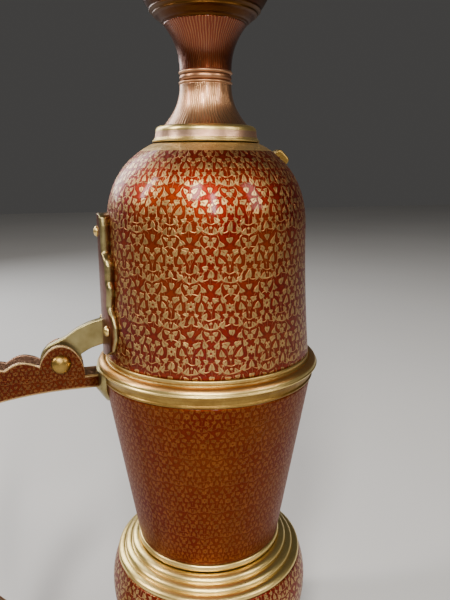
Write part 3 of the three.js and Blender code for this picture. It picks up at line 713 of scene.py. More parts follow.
def wall(outer: Curve, thickness: float, segments: int = 256,
         edge: np.ndarray | None = None) -> Skin:
    """A turned shell: the outer profile, and the same moved in by the wall's thickness."""
    inner = moved_in(resample(outer, max(12, len(outer) // 2)), thickness)[::-1]
    wear_and_sheen = None if edge is None else np.concatenate([edge, np.zeros(len(inner))])
    return revolve(np.vstack([outer, inner]), segments, True, len(outer) - 1, wear_and_sheen)


def slab(top: Curve, bottom: Curve, middle: float, width: float, bevel: float) -> Skin:
    """A flat piece in the handle's plane between two edge curves, with rounded edges.

    At each step the section is a rectangle from the bottom curve to the top one. Its corners
    are quarter circles of the bevel's radius, and its flanks carry a point just inside them.

    Args:
        top: Reach and height of the edge on one side, reach counted towards -X.
        bottom: The same for the other side, with as many points.
        middle: Where the piece's middle lies along Y.
        width: Its size along Y.
        bevel: The corners' radius.

    Returns:
        The grid, mapped in metres along the bottom edge and across the section.
    """
    span = np.linalg.norm(top - bottom, axis=1)
    way = (top - bottom) / np.maximum(span, 1e-9)[:, None]
    turn = np.linspace(0, np.pi / 2, 4)
    low = bevel * (1 - np.cos(turn))
    side = width / 2 - bevel * (1 - np.sin(turn))
    step = np.array([bevel + 0.0005])
    flank = np.array([width / 2])
    low_side = np.concatenate([low, step]), np.concatenate([side, flank])
    rise = np.concatenate([low_side[0], -low_side[0][::-1]])
    from_top = np.concatenate([np.zeros(5, bool), np.ones(5, bool)])
    sideways = np.concatenate([low_side[1], low_side[1][::-1]])
    rise = np.concatenate([rise, rise[::-1]])
    from_top = np.concatenate([from_top, from_top[::-1]])
    sideways = np.concatenate([sideways, -sideways[::-1]])
    limit = 0.48 * span[:, None]
    away = np.minimum(np.abs(rise)[None, :], limit)
    across = np.where(from_top[None, :], span[:, None] - away, away)
    flat = bottom[:, None, :] + way[:, None, :] * across[..., None]
    points = np.stack([-flat[..., 0], np.broadcast_to(middle + sideways, across.shape), flat[..., 1]], -1)
    edge = np.broadcast_to((np.abs(rise) < bevel * 1.01).astype(float), across.shape)
    run = run_length(bottom)
    return Skin(points, np.append(rise, 0.0), np.append(run, run[-1]), False, True, edge)


def pad(levels: Curve, half_width: Curve, back: Curve, front: Callable[[Curve], Curve],
        bevel: float) -> Skin:
    """A plate bent round the axis on the handle's side.

    At each level the section runs across the front from one side to the other at the front's
    radius, falls by a quarter circle of the bevel's radius at each side, and returns along the
    back. The angle round the axis is the distance across over the radius.

    Args:
        levels: Heights of the sections.
        half_width: Half the plate's width at each level.
        back: The back face's radius at each level.
        front: Gives the front face's radius for shares across from -1 to 1.
        bevel: The rounding of the front's edge.

    Returns:
        The grid, mapped in metres across and up.
    """
    share = np.linspace(-1, 1, 25)
    radius = front(share)
    y = half_width[:, None] * share
    inward = half_width[:, None] * (1 - np.abs(share)[None, :])
    drop = bevel - np.sqrt(np.maximum(bevel**2 - np.maximum(bevel - inward, 0) ** 2, 0))
    radius = np.maximum(radius - drop, back[:, None] + 0.0001)
    angle = y / radius
    rear_angle = angle[:, ::-1]
    rear = np.broadcast_to(back[:, None], rear_angle.shape)
    radii = np.hstack([radius, rear])
    angles = np.hstack([angle, rear_angle])
    height = np.broadcast_to(levels[:, None], radii.shape)
    points = np.stack([-radii * np.cos(angles), radii * np.sin(angles), height], -1)
    edge = (inward < 0.0012).astype(float)
    edge = np.hstack([edge, np.ones_like(edge)])
    u = np.concatenate([share, share[::-1], [0.0]]) * 0.01
    return Skin(points, u, np.append(levels, levels[-1]), False, True, edge)


def dome(radius: float, height: float, steps: int = 10) -> Curve:
    """A quarter ellipse from its rim to its crown."""
    turn = np.linspace(0, np.pi / 2, steps)
    return np.column_stack([radius * np.cos(turn), height * np.sin(turn)])


def swung(skin: Skin, matrix: Matrix) -> Skin:
    """The same grid turned and moved by a matrix."""
    m = np.array(matrix)
    skin.points = skin.points @ m[:3, :3].T + m[:3, 3]
    return skin


def cad_points(node: str) -> np.ndarray:
    """The corners of a CAD node."""
    mesh = frame["nodes"][node].data
    flat = np.empty(len(mesh.vertices) * 3)
    mesh.vertices.foreach_get("co", flat)
    return flat.reshape(-1, 3)


def put(name: str, skin: Skin, body: Body, slot: Slot, node: str | Sequence[str],
        *materials: bpy.types.Material) -> bpy.types.Object:
    """Makes a piece of a grid and hands it to the frame.

    Args:
        name: The piece's name.
        skin: Its grid.
        body: The body that it rides on.
        slot: The record's slot for its finish; not used.
        node: The CAD node or nodes that it stands for.
        materials: Its outside finish, and its inside finish where it has one.

    Returns:
        The piece.
    """
    piece = bpy.data.objects.new(name, skin.mesh(name))
    bpy.context.scene.collection.objects.link(piece)
    for material in materials:
        piece.data.materials.append(material)
    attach(piece, body.value)
    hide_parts(*([node] if isinstance(node, str) else node))
    LOG.info("%s: %d faces on %s", name, len(piece.data.polygons), body.value)
    return piece


def span_of(node: str) -> tuple[float, float, float]:
    """A turned node's radius, foot and top."""
    low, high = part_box(node)
    return high.y, low.z, high.z


def ease(first: float, last: float, foot: float, top: float, power: float, count: int) -> Curve:
    """A trumpet: the radius goes from first to last as (1 - s) to a power, with s the rise."""
    s = np.linspace(0, 1, count)
    radius = last + (first - last) * (1 - s) ** power
    return np.column_stack([radius, foot + (top - foot) * s])


def arc(centre: tuple[float, float], radii: tuple[float, float], start: float, end: float,
        count: int) -> Curve:
    """Part of an ellipse between two angles in degrees."""
    turn = np.radians(np.linspace(start, end, count))
    return np.column_stack([centre[0] + radii[0] * np.cos(turn), centre[1] + radii[1] * np.sin(turn)])


# ------------------------------------------------------------------ foot and bulb


@dataclass
class Foot:
    """The flared foot with its base, and the bead on its waist."""

    finishes: Finishes
    sheet: float = 1.5 * MM
    lip: float = 2.6 * MM
    waist: float = 31.4 * MM

    def build(self) -> None:
        """Builds the foot ring, its base and the bead."""
        radius, foot, top = span_of("foot_ring")
        lip = fillet([(radius - 0.9 * MM, foot), (radius, foot + 0.7 * MM),
                      (radius, foot + self.lip), (radius - 1.2 * MM, foot + 3.3 * MM),
                      (radius - 2.4 * MM, foot + 3.7 * MM)], 0.7 * MM)
        flare = ease(radius - 2.4 * MM, self.waist, foot + 3.7 * MM, top, 2.2, 40)
        outline = np.vstack([lip, flare[1:]])
        put("foot", wall(outline, self.sheet), Body.JUG, Slot.TURNED, "foot_ring",
            self.finishes.brass, self.finishes.dark)
        self._base()
        self._bead()

    def _base(self) -> None:
        """Builds the disc soldered into the foot's underside."""
        radius, foot, top = span_of("base_plate")
        edge = 0.3 * MM
        outline = fillet([(0, foot), (radius, foot), (radius, top), (0, top)], edge)
        put("base", revolve(outline, 160, closed=False), Body.JUG, Slot.DARK, "base_plate",
            self.finishes.dark)

    def _bead(self) -> None:
        """Builds the bead as half a circle on a ring."""
        radius, foot, top = span_of("waist_bead")
        half = (top - foot) / 2
        bulge = arc((radius - half, foot + half), (half, half + 0.0002), -90, 90, 14)
        inner = np.array([(self.waist - self.sheet, top), (self.waist - self.sheet, foot)])
        put("waist_ring", revolve(np.vstack([bulge, inner])), Body.JUG, Slot.TURNED,
            "waist_bead", self.finishes.bright)


@dataclass
class Bulb:
    """The round bulb, its floor and the rings that step in from it."""

    finishes: Finishes
    sheet: float = 1.3 * MM
    widest: float = 57 * MM
    waist: float = 31.2 * MM
    crown: float = 40 * MM
    step_count: int = 3

    def radius_at(self, level: np.ndarray | float) -> np.ndarray:
        """The bulb's radius: a quarter ellipse above its widest level and one below."""
        widest, foot, _ = span_of("bulb_lower")
        keel = (self.widest - foot) / np.sqrt(1 - (self.waist / widest) ** 2)
        half = np.where(np.asarray(level) < self.widest, keel, self.crown)
        return widest * np.sqrt(1 - ((np.asarray(level) - self.widest) / half) ** 2)

    def build(self) -> None:
        """Builds the bulb, its floor and the stepped rings."""
        _, foot, _ = span_of("bulb_lower")
        _, _, top = span_of("bulb_upper")
        level = np.linspace(foot, top, 70)
        outline = np.column_stack([self.radius_at(level), level])
        put("bulb", wall(outline, self.sheet), Body.JUG, Slot.LACQUER, ("bulb_lower", "bulb_upper"),
            self.finishes.bulb, self.finishes.dark)
        self._floor()
        self._steps()

    def _floor(self) -> None:
        """Builds the disc that closes the bulb."""
        radius, foot, top = span_of("bulb_floor")
        outline = fillet([(0, foot), (radius, foot), (radius, top), (0, top)], 0.3 * MM)
        put("floor_disc", revolve(outline, 128, closed=False), Body.JUG, Slot.DARK,
            "bulb_floor", self.finishes.dark)

    def _steps(self) -> None:
        """Builds the rings: each is a quarter round over a thin groove."""
        radius, foot, top = span_of("step_collar")
        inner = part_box("seat_band")[1].y
        tread = (radius - inner) / self.step_count
        rise = (top - foot) / self.step_count
        steps = [
            arc((radius - tread * (k + 1) + 0.3 * MM, foot + rise * k + 0.5 * MM),
                (tread - 0.3 * MM, rise - 0.5 * MM), -20, 90, 14)
            for k in range(self.step_count)
        ]
        outer = np.vstack([[(radius - 0.3 * MM, foot)], *steps])
        bore = np.array([(inner - 2.4 * MM, top), (radius - 4 * MM, foot)])
        put("step_rings", revolve(np.vstack([outer, bore])), Body.JUG,
            Slot.TURNED, "step_collar", self.finishes.bright)


# ------------------------------------------------------------------ cup and rim


@dataclass
class Cup:
    """The tapered cup, the bright band it stands in, its top band and the rim."""

    finishes: Finishes
    sheet: float = 1.3 * MM
    foot_radius: float = 32.9 * MM
    bore: float = 42.5 * MM
    seat: float = 45.0 * MM

    def radius_at(self, level: np.ndarray | float) -> np.ndarray:
        """The cup's radius: straight from its foot to its top."""
        radius, foot, top = span_of("cup_shell")
        share = (np.asarray(level) - foot) / (top - foot)
        return self.foot_radius + (radius - self.foot_radius) * share

    def build(self) -> None:
        """Builds the four turned pieces."""
        _, foot, top = span_of("cup_shell")
        level = np.linspace(foot, top, 60)
        outline = np.column_stack([self.radius_at(level), level])
        put("cup", wall(outline, self.sheet), Body.JUG, Slot.LACQUER, "cup_shell",
            self.finishes.cup, self.finishes.dark)
        self._seat_band()
        self._top_band()
        self._rim()

    def _seat_band(self) -> None:
        """Builds the bright band: a shallow bulge between two grooves."""
        radius, foot, top = span_of("seat_band")
        middle = (foot + top) / 2
        bulge = arc((radius - 0.9 * MM, middle), (0.9 * MM, (top - foot) / 2), -90, 90, 16)
        inner = np.array([(self.foot_radius - self.sheet, top), (self.foot_radius - self.sheet, foot)])
        put("seat_ring", revolve(np.vstack([bulge, inner])), Body.JUG, Slot.TURNED,
            "seat_band", self.finishes.bright)

    def _top_band(self) -> None:
        """Builds the plain band: a hollow moulding with a thin line above and below."""
        radius, foot, top = span_of("cup_band")
        outline = fillet([
            (radius - 0.6 * MM, foot), (radius - 0.1 * MM, foot + 0.2 * MM),
            (radius - 0.1 * MM, foot + 0.9 * MM), (radius - 0.6 * MM, foot + 1.2 * MM),
            (radius - 0.5 * MM, foot + 2.6 * MM), (radius, top - 0.8 * MM), (radius, top),
        ], 0.3 * MM)
        inner = np.array([(radius - 2.1 * MM, top), (radius - 2.1 * MM, foot)])
        put("top_band", revolve(np.vstack([outline, inner])), Body.JUG, Slot.TURNED,
            "cup_band", self.finishes.olive)

    def _rim(self) -> None:
        """Builds the rim: a quarter round that falls outwards to a thin lip, its outer faces bright brass
        as a painted highlight.
        """
        radius, foot, top = span_of("rim_flange")
        lip = fillet([
            (radius - 2.6 * MM, foot), (radius - 0.5 * MM, foot), (radius, foot + 0.35 * MM),
            (radius, foot + 0.75 * MM), (radius - 0.35 * MM, foot + 1.05 * MM),
        ], 0.25 * MM)
        roll = arc((self.seat + 0.4 * MM, foot + 0.9 * MM),
                   (radius - self.seat - 0.8 * MM, top - foot - 0.9 * MM), 6, 90, 20)
        inner = fillet([
            (self.seat + 0.25 * MM, top - 0.1 * MM), (self.seat, top - 0.5 * MM),
            (self.seat - 0.1 * MM, foot + 1.75 * MM), (self.bore, foot + 1.75 * MM),
            (self.bore, foot + 0.15 * MM), (radius - 3 * MM, foot + 0.15 * MM),
        ], 0.2 * MM)
        outline = np.vstack([lip, roll, inner])
        piece = put("rim", revolve(outline), Body.JUG, Slot.COPPER, "rim_flange",
                    self.finishes.copper, self.finishes.bright)
        # The lip's outermost faces take bright brass: a painted highlight line round the rim.
        self._paint_lip_highlight(piece, radius - 0.75 * MM)

    @staticmethod
    def _paint_lip_highlight(piece: bpy.types.Object, radius: float) -> None:
        """Gives the faces beyond a radius the piece's second finish, a painted highlight along the lip."""
        mesh = piece.data
        centres = np.empty(len(mesh.polygons) * 3)
        mesh.polygons.foreach_get("center", centres)
        centres = centres.reshape(-1, 3)
        outside = np.hypot(centres[:, 0], centres[:, 1]) > radius
        mesh.polygons.foreach_set("material_index", outside.astype(np.int32))


# ------------------------------------------------------------------ hood, neck and mouth


@dataclass
class Hood:
    """The domed hood with its foot band, sleeve, shoulder collar and lift lug."""

    finishes: Finishes
    sheet: float = 1.3 * MM
    shoulder: float = 42.1 * MM
    collar: float = 22.1 * MM
    wall_height: float = 51.9 * MM
    dome_rise: float = 39.4 * MM
    dome_power: float = 2.33

    def profile(self) -> Curve:
        """The hood's outline: a wall that flares at its foot, then part of a superellipse."""
        radius, foot, _ = span_of("hood_shell")
        lower = ease(radius, self.shoulder, foot, foot + self.wall_height, 1.6, 40)
        share = (self.collar / self.shoulder) ** (self.dome_power / 2)
        turn = np.linspace(0, np.arccos(share), 50)[1:]
        power = 2 / self.dome_power
        upper = np.column_stack([self.shoulder * np.cos(turn) ** power,
                                 foot + self.wall_height + self.dome_rise * np.sin(turn) ** power])
        return np.vstack([lower, upper])

    def radius_at(self, level: np.ndarray) -> np.ndarray:
        """The hood's radius at each height."""
        outline = self.profile()
        return np.interp(level, outline[:, 1], outline[:, 0])

    def build(self) -> None:
        """Builds the hood's own pieces."""
        put("hood_dome", wall(self.profile(), self.sheet), Body.HOOD, Slot.LACQUER,
            "hood_shell", self.finishes.hood, self.finishes.dark)
        self._ring()
        self._sleeve()
        self._collar()
        self._lug()

    def _ring(self) -> None:
        """Builds the foot band: a flat, a groove and a rounded step."""
        radius, foot, top = span_of("hood_ring")
        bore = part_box("hood_sleeve")[1].y + 0.3 * MM
        outline = fillet([
            (radius - 0.3 * MM, foot), (radius, foot + 0.3 * MM), (radius, foot + 1.3 * MM),
            (radius - 0.45 * MM, foot + 1.5 * MM), (radius - 0.45 * MM, foot + 1.8 * MM),
            (radius - 0.15 * MM, foot + 2.1 * MM), (radius - 0.2 * MM, foot + 3.1 * MM),
            (radius - 0.6 * MM, top),
        ], 0.25 * MM)
        inner = np.array([(bore, top), (bore, foot)])
        put("hood_band", revolve(np.vstack([outline, inner])), Body.HOOD, Slot.TURNED,
            "hood_ring", self.finishes.brass)

    def _sleeve(self) -> None:
        """Builds the short sleeve that drops into the rim."""
        radius, foot, top = span_of("hood_sleeve")
        outline = fillet([(radius - 0.4 * MM, foot), (radius, foot + 0.6 * MM), (radius, top)], 0.3 * MM)
        put("hood_liner", wall(outline, self.sheet), Body.HOOD, Slot.DARK, "hood_sleeve",
            self.finishes.dark)

    def _collar(self) -> None:
        """Builds the collar: a bright bead, a rosy band and a bright sloping shoulder."""
        radius, foot, top = span_of("shoulder_collar")
        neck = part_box("neck_lower")[1].y
        flange = fillet([
            (radius - 0.3 * MM, foot), (radius, foot + 0.3 * MM), (radius, foot + 0.9 * MM),
            (radius - 0.6 * MM, foot + 1.2 * MM), (radius - 0.65 * MM, foot + 1.55 * MM),
            (radius - 0.95 * MM, foot + 1.75 * MM), (radius - 1.35 * MM, foot + 4.25 * MM),
        ], 0.2 * MM)
        base = (neck + 0.3 * MM, foot + 4.5 * MM)
        roll = arc(base, (radius - 1.35 * MM - base[0], top - base[1]), 0, 90, 16)
        outline = np.vstack([flange, roll])
        piece = put("collar", wall(outline, self.sheet), Body.HOOD, Slot.TURNED,
                    "shoulder_collar", self.finishes.bright, self.finishes.dark,
                    self.finishes.pink)
        self._paint_band(piece, foot + 1.8 * MM, foot + 4.3 * MM, radius - 1.5 * MM, 2)

    @staticmethod
    def _paint_band(piece: bpy.types.Object, low: float, high: float, beyond: float,
                    index: int) -> None:
        """Gives the outer faces between two heights one of the piece's other finishes."""
        mesh = piece.data
        centres = np.empty(len(mesh.polygons) * 3)
        mesh.polygons.foreach_get("center", centres)
        centres = centres.reshape(-1, 3)
        within = (centres[:, 2] > low) & (centres[:, 2] < high)
        within &= np.hypot(centres[:, 0], centres[:, 1]) > beyond
        kept = np.empty(len(mesh.polygons), dtype=np.int32)
        mesh.polygons.foreach_get("material_index", kept)
        mesh.polygons.foreach_set("material_index", np.where(within, index, kept).astype(np.int32))

    def _lug(self) -> None:
        """Builds the lug: a rounded block standing square to the dome."""
        low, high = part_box("lift_lug")
        outline = self.profile()
        run = run_length(outline)
        middle = np.argmin(np.hypot(outline[:, 0] - (low.x + high.x) / 2 + 1.2 * MM,
                                    outline[:, 1] - (low.z + high.z) / 2 + 1.2 * MM))
        centre, length = run[middle], 3.4 * MM
        along = np.linspace(centre - length, centre + length, 40)
        base = np.column_stack([np.interp(along, run, outline[:, 0]), np.interp(along, run, outline[:, 1])])
        share = np.abs(np.linspace(-1, 1, 40))
        rise = 3.7 * MM * np.sqrt(np.maximum(1 - share**7, 0.0))
        top = moved_in(base, -1.0) - base
        crown = base + top * rise[:, None]
        foot = base - top * 0.5 * MM
        mirror = np.array([-1.0, 1.0])
        skin = slab(crown * mirror, foot * mirror, 0.0, high.y - low.y, 0.9 * MM)
        put("thumb_lug", skin, Body.HOOD, Slot.CAST, "lift_lug", self.finishes.olive)


@dataclass
class Neck:
    """The slim neck with its beaded ring, and the flared mouth."""

    finishes: Finishes
    sheet: float = 1.3 * MM
    slim: float = 10.5 * MM
    mouth_foot: float = 16.5 * MM
    ridge: float = 0.55 * MM

    def build(self) -> None:
        """Builds the neck's three pieces and the mouth's two."""
        radius, foot, _ = span_of("neck_lower")
        lower = ease(radius, self.slim, foot, float(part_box("neck_bead")[0].z), 2.15, 50)
        put("lower_neck", wall(lower, self.sheet, 192), Body.HOOD, Slot.LACQUER, "neck_lower",
            self.finishes.flutes, self.finishes.dark)
        self._bead()
        self._upper()
        self._mouth()
        self._lip()

    def _bead(self) -> None:
        """Builds the ring: two round edges with a shallow bulge between them."""
        radius, foot, top = span_of("neck_bead")
        rise = (top - foot) / 10
        edge = 0.5 * MM
        low = arc((radius - edge, foot + rise), (edge, rise), -90, 60, 9)
        belly = arc((radius - 1.6 * MM, (foot + top) / 2), (1.25 * MM, 2.9 * rise), -80, 80, 12)
        high = arc((radius - edge, top - rise), (edge, rise), -60, 90, 9)
        bore = self.slim - self.sheet
        inner = np.array([(bore, top), (bore, foot)])
        outline = np.vstack([low, belly, high, inner])
        # The two round edges are marked as edge, so their film thins: partly wear, partly a painted
        # highlight along them.
        wear_and_sheen = np.concatenate([np.ones(9), np.zeros(12), np.ones(9), np.zeros(2)])
        put("neck_ring", revolve(outline, 192, edge=wear_and_sheen), Body.HOOD, Slot.TURNED, "neck_bead",
            self.finishes.ring)

    def _upper(self) -> None:
        """Builds the upper neck: its radius grows as the rise to the power 2.3."""
        _, _, foot = span_of("neck_bead")
        _, _, top = span_of("neck_upper")
        s = np.linspace(0, 1, 50)
        radius = self.slim + (self.mouth_foot - self.slim) * s**2.3
        outline = np.column_stack([radius, foot + (top - foot) * s])
        put("upper_neck", wall(outline, self.sheet, 192), Body.HOOD, Slot.LACQUER,
            "neck_upper", self.finishes.dark_flutes, self.finishes.dark)

    def _mouth(self) -> None:
        """Builds the cup of the mouth: part of a parabola with two turned ridges."""
        radius, foot, top = span_of("mouth_cup")
        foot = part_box("neck_upper")[1].z
        s = np.linspace(0, 1, 160)
        level = foot + (top - foot) * s
        outline = self.mouth_foot + (radius - self.mouth_foot) * (1 - (1 - s) ** 2.15)
        for ridge_level in (foot + 3.4 * MM, foot + 4.9 * MM):
            outline = outline + self.ridge * np.exp(-(((level - ridge_level) / (0.4 * MM)) ** 2))
        groove = foot + 0.8 * MM
        outline = outline - 0.25 * MM * np.exp(-(((level - groove) / (0.3 * MM)) ** 2))
        # A band over the two ridges is marked as edge, so its film thins there: a painted highlight on the
        # ridges.
        wear_and_sheen = np.exp(-(((level - foot - 4.15 * MM) / (1.1 * MM)) ** 4))
        put("mouth_bowl", wall(np.column_stack([outline, level]), self.sheet, 224, wear_and_sheen),
            Body.HOOD, Slot.DARK, "mouth_cup", self.finishes.mouth, self.finishes.dark)

    def _lip(self) -> None:
        """Builds the mouth's rolled lip."""
        radius, foot, top = span_of("mouth_lip")
        bead = 1.9 * MM
        roll = arc((radius - bead, top - bead), (bead, bead), -70, 165, 26)
        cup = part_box("mouth_cup")[1].y
        inner = np.array([(cup - self.sheet, foot + 1.2 * MM), (cup - self.sheet, foot)])
        outline = np.vstack([[(cup, foot)], roll, inner])
        put("mouth_rim", revolve(outline, 224), Body.HOOD, Slot.TURNED, "mouth_lip",
            self.finishes.brass)


# ------------------------------------------------------------------ handle and hinge


@dataclass
class Handle:
    """The channel handle: two scalloped cheeks, the sole between them and its end pads."""

    finishes: Finishes
    bulb: Bulb
    cup: Cup
    reach: float = 108 * MM
    foot_level: float = 38.5 * MM
    root_depth: float = 5.6 * MM
    arm_depth: float = 13.2 * MM
    foot_depth: float = 9 * MM
    scallop: float = 1.8 * MM
    pitch: float = 10.6 * MM
    ear_half: float = 9.3 * MM
    ear_rim: float = 8.1 * MM
    leaf: float = 9 * MM
    ear_points: int = 120

    def __post_init__(self) -> None:
        """Reads the hinge from the record and lays the handle's line."""
        pos = frame["record"]["behaviour"]["joints"][0]["pos_m"]
        self.pin = (-pos[0], pos[2])
        self.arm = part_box("rim_flange")[0].z - 6.8 * MM
        self.line = self._line()

    def _line(self) -> Curve:
        """The finger side of the handle, from its root under the rim to its foot."""
        start = float(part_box("cup_shell")[1].y)
        shares = np.array([
            (0, 0), (0.368, 0.0035), (0.691, 0.025), (0.863, 0.0667), (0.9645, 0.154), (1, 0.2835),
            (0.987, 0.45), (0.956, 0.612), (0.919, 0.754), (0.85, 0.854), (0.6875, 0.9333),
            (0.479, 0.9666), (0.3385, 0.9866), (0.052, 1)])
        base = np.where(np.arange(len(shares)) < 6, start, self.bulb.waist)
        knots = np.column_stack([base + (self.reach - base) * shares[:, 0],
                                 self.arm + (self.foot_level - self.arm) * shares[:, 1]])
        return resample(catmull(knots), 1400)

    def _offset(self, depth: np.ndarray) -> Curve:
        """The line moved outwards by a depth at each of its points."""
        slope = np.gradient(self.line, axis=0)
        slope /= np.linalg.norm(slope, axis=1, keepdims=True)
        return self.line + depth[:, None] * np.column_stack([-slope[:, 1], slope[:, 0]])

    def _open_edge(self) -> Curve:
        """The cheek's open edge: the root, the ear round the pin, then the scallops.

        The ear is the upper half of an ellipse over the arm. Each scallop is half a sine wave
        on a depth that eases from the arm's to the foot's.
        """
        run = run_length(self.line)
        reach_to = self.pin[0] + self.ear_half
        first = np.argmax(self.line[:, 0] >= reach_to)
        beyond = np.clip((run - run[first]) / (run[-1] - run[first]), 0, 1)
        count = round((run[-1] - run[first]) / self.pitch)
        depth = self.arm_depth + (self.foot_depth - self.arm_depth) * beyond
        depth = depth + self.scallop * np.abs(np.sin(np.pi * count * beyond))
        before = np.arange(len(run)) < first
        edge = self._offset(depth)
        root = self.arm + self.root_depth
        height = self.pin[1] + self.ear_rim - root
        turn = np.linspace(np.pi, 0.42, self.ear_points)
        ear = np.column_stack([self.pin[0] + self.ear_half * np.cos(turn), root + height * np.sin(turn)])
        start = np.array([[self._root_reach(), root]])
        return np.vstack([start, ear, edge[~before]])

    def _root_reach(self) -> float:
        """Where the arm meets its pad under the rim."""
        return float(self.cup.radius_at(self.arm)) + 2.9 * MM

    def _edges(self) -> tuple[Curve, Curve]:
        """The open edge and the finger edge, paired point by point along the handle."""
        top = self._open_edge()
        run = run_length(self.line)
        start = np.argmax(self.line[:, 0] >= self._root_reach())
        ear_end = np.argmax(self.line[:, 0] >= self.pin[0] + self.ear_half)
        steps = self.ear_points + 1
        near = np.interp(top[:steps, 0], self.line[start:ear_end, 0], run[start:ear_end])
        share = np.linspace(0, 1, len(top) - steps)
        far = run[ear_end] + share * (run[-1] - run[ear_end])
        along = np.concatenate([near, far])
        bottom = np.column_stack([np.interp(along, run, axis) for axis in self.line.T])
        return self._trim(top, bottom)

    def _trim(self, top: Curve, bottom: Curve) -> tuple[Curve, Curve]:
        """Ends both edges on the pad on the bulb."""
        def outside(curve: Curve) -> np.ndarray:
            """Whether each point is clear of the bulb's pad."""
            level = np.clip(curve[:, 1], 21 * MM, 70 * MM)
            low = curve[:, 1] < 60 * MM
            return ~low | (curve[:, 0] > self.bulb.radius_at(level) + 1.4 * MM)

        root = self.ear_points + 1
        ends = []
        for curve in (top, bottom):
            clear = outside(curve)
            last = len(curve) - 1 - np.argmax(clear[::-1])
            kept = curve[: last + 1]
            steps = np.linspace(0, 1, 700)
            run = run_length(kept)
            even = run[root] + (run[-1] - run[root]) * steps
            tail = np.column_stack([np.interp(even, run, axis) for axis in kept.T])
            ends.append(np.vstack([kept[:root], tail]))
        return ends[0], ends[1]

    def build(self) -> None:
        """Builds the cheeks, the sole and the end pads."""
        top, bottom = self._edges()
        for name, node in (("near_cheek", "handle_cheek_near"), ("far_cheek", "handle_cheek_far")):
            low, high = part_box(node)
            skin = slab(top, bottom, (low.y + high.y) / 2, high.y - low.y, 0.45 * MM)
            put(name, skin, Body.JUG, Slot.LACQUER, node, self.finishes.cheek)
        self._sole(bottom)
        self._upper_pad()
        self._lower_pad()

    def _sole(self, bottom: Curve) -> None:
        """Builds the strip along the finger side, slightly inside the cheeks' edge."""
        low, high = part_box("handle_sole")
        even = resample(bottom, 260)
        slope = np.gradient(even, axis=0)
        slope /= np.linalg.norm(slope, axis=1, keepdims=True)
        side = np.column_stack([-slope[:, 1], slope[:, 0]])
        skin = slab(even + 1.6 * MM * side, even + 0.15 * MM * side, 0.0,
                    high.y - low.y + 0.5 * MM, 0.2 * MM)
        put("sole", skin, Body.JUG, Slot.CAST, "handle_sole", self.finishes.cast)

    def _leaf_half(self, share: np.ndarray) -> np.ndarray:
        """Half a leaf's width at a share of its height."""
        return self.leaf * np.maximum(np.sin(np.pi * share), 0.0) ** 0.75 + 0.05 * MM

    def _upper_pad(self) -> None:
        """Builds the domed leaf under the rim, cut square at its top."""
        low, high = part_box("upper_handle_plate")
        share = 0.6 * (1 - np.cos(np.linspace(0, np.pi / 2, 60)))
        level = low.z + (high.z - low.z) * share / 0.6
        wall_radius = self.cup.radius_at(level)
        thick = np.interp(level, [low.z, self.arm - 1 * MM, high.z], [0.8 * MM, 4.7 * MM, 2.2 * MM])

        def front(across: np.ndarray) -> np.ndarray:
            """A wedge off the cup's wall, thickest where the arm meets it, domed across."""
            return wall_radius[:, None] + thick[:, None] * (1 - 0.5 * across[None, :] ** 2)

        skin = pad(level, self._leaf_half(share), wall_radius - 0.1 * MM, front, 1.1 * MM)
        put("upper_pad", skin, Body.JUG, Slot.CAST, "upper_handle_plate", self.finishes.cast)

    def _lower_pad(self) -> None:
        """Builds the leaf on the bulb."""
        low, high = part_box("lower_handle_plate")
        share = 0.5 - 0.5 * np.cos(np.linspace(0, np.pi, 80))
        level = low.z + (high.z - low.z) * share
        wall_radius = self.bulb.radius_at(level)

        def front(across: np.ndarray) -> np.ndarray:
            """A flatter swelling face over the bulb."""
            swell = 1.0 * MM + 0.6 * MM * (1 - across[None, :] ** 2)
            return wall_radius[:, None] + swell

        skin = pad(level, self._leaf_half(share), wall_radius - 0.1 * MM, front, 0.8 * MM)
        put("lower_pad", skin, Body.JUG, Slot.CAST, "lower_handle_plate", self.finishes.cast)


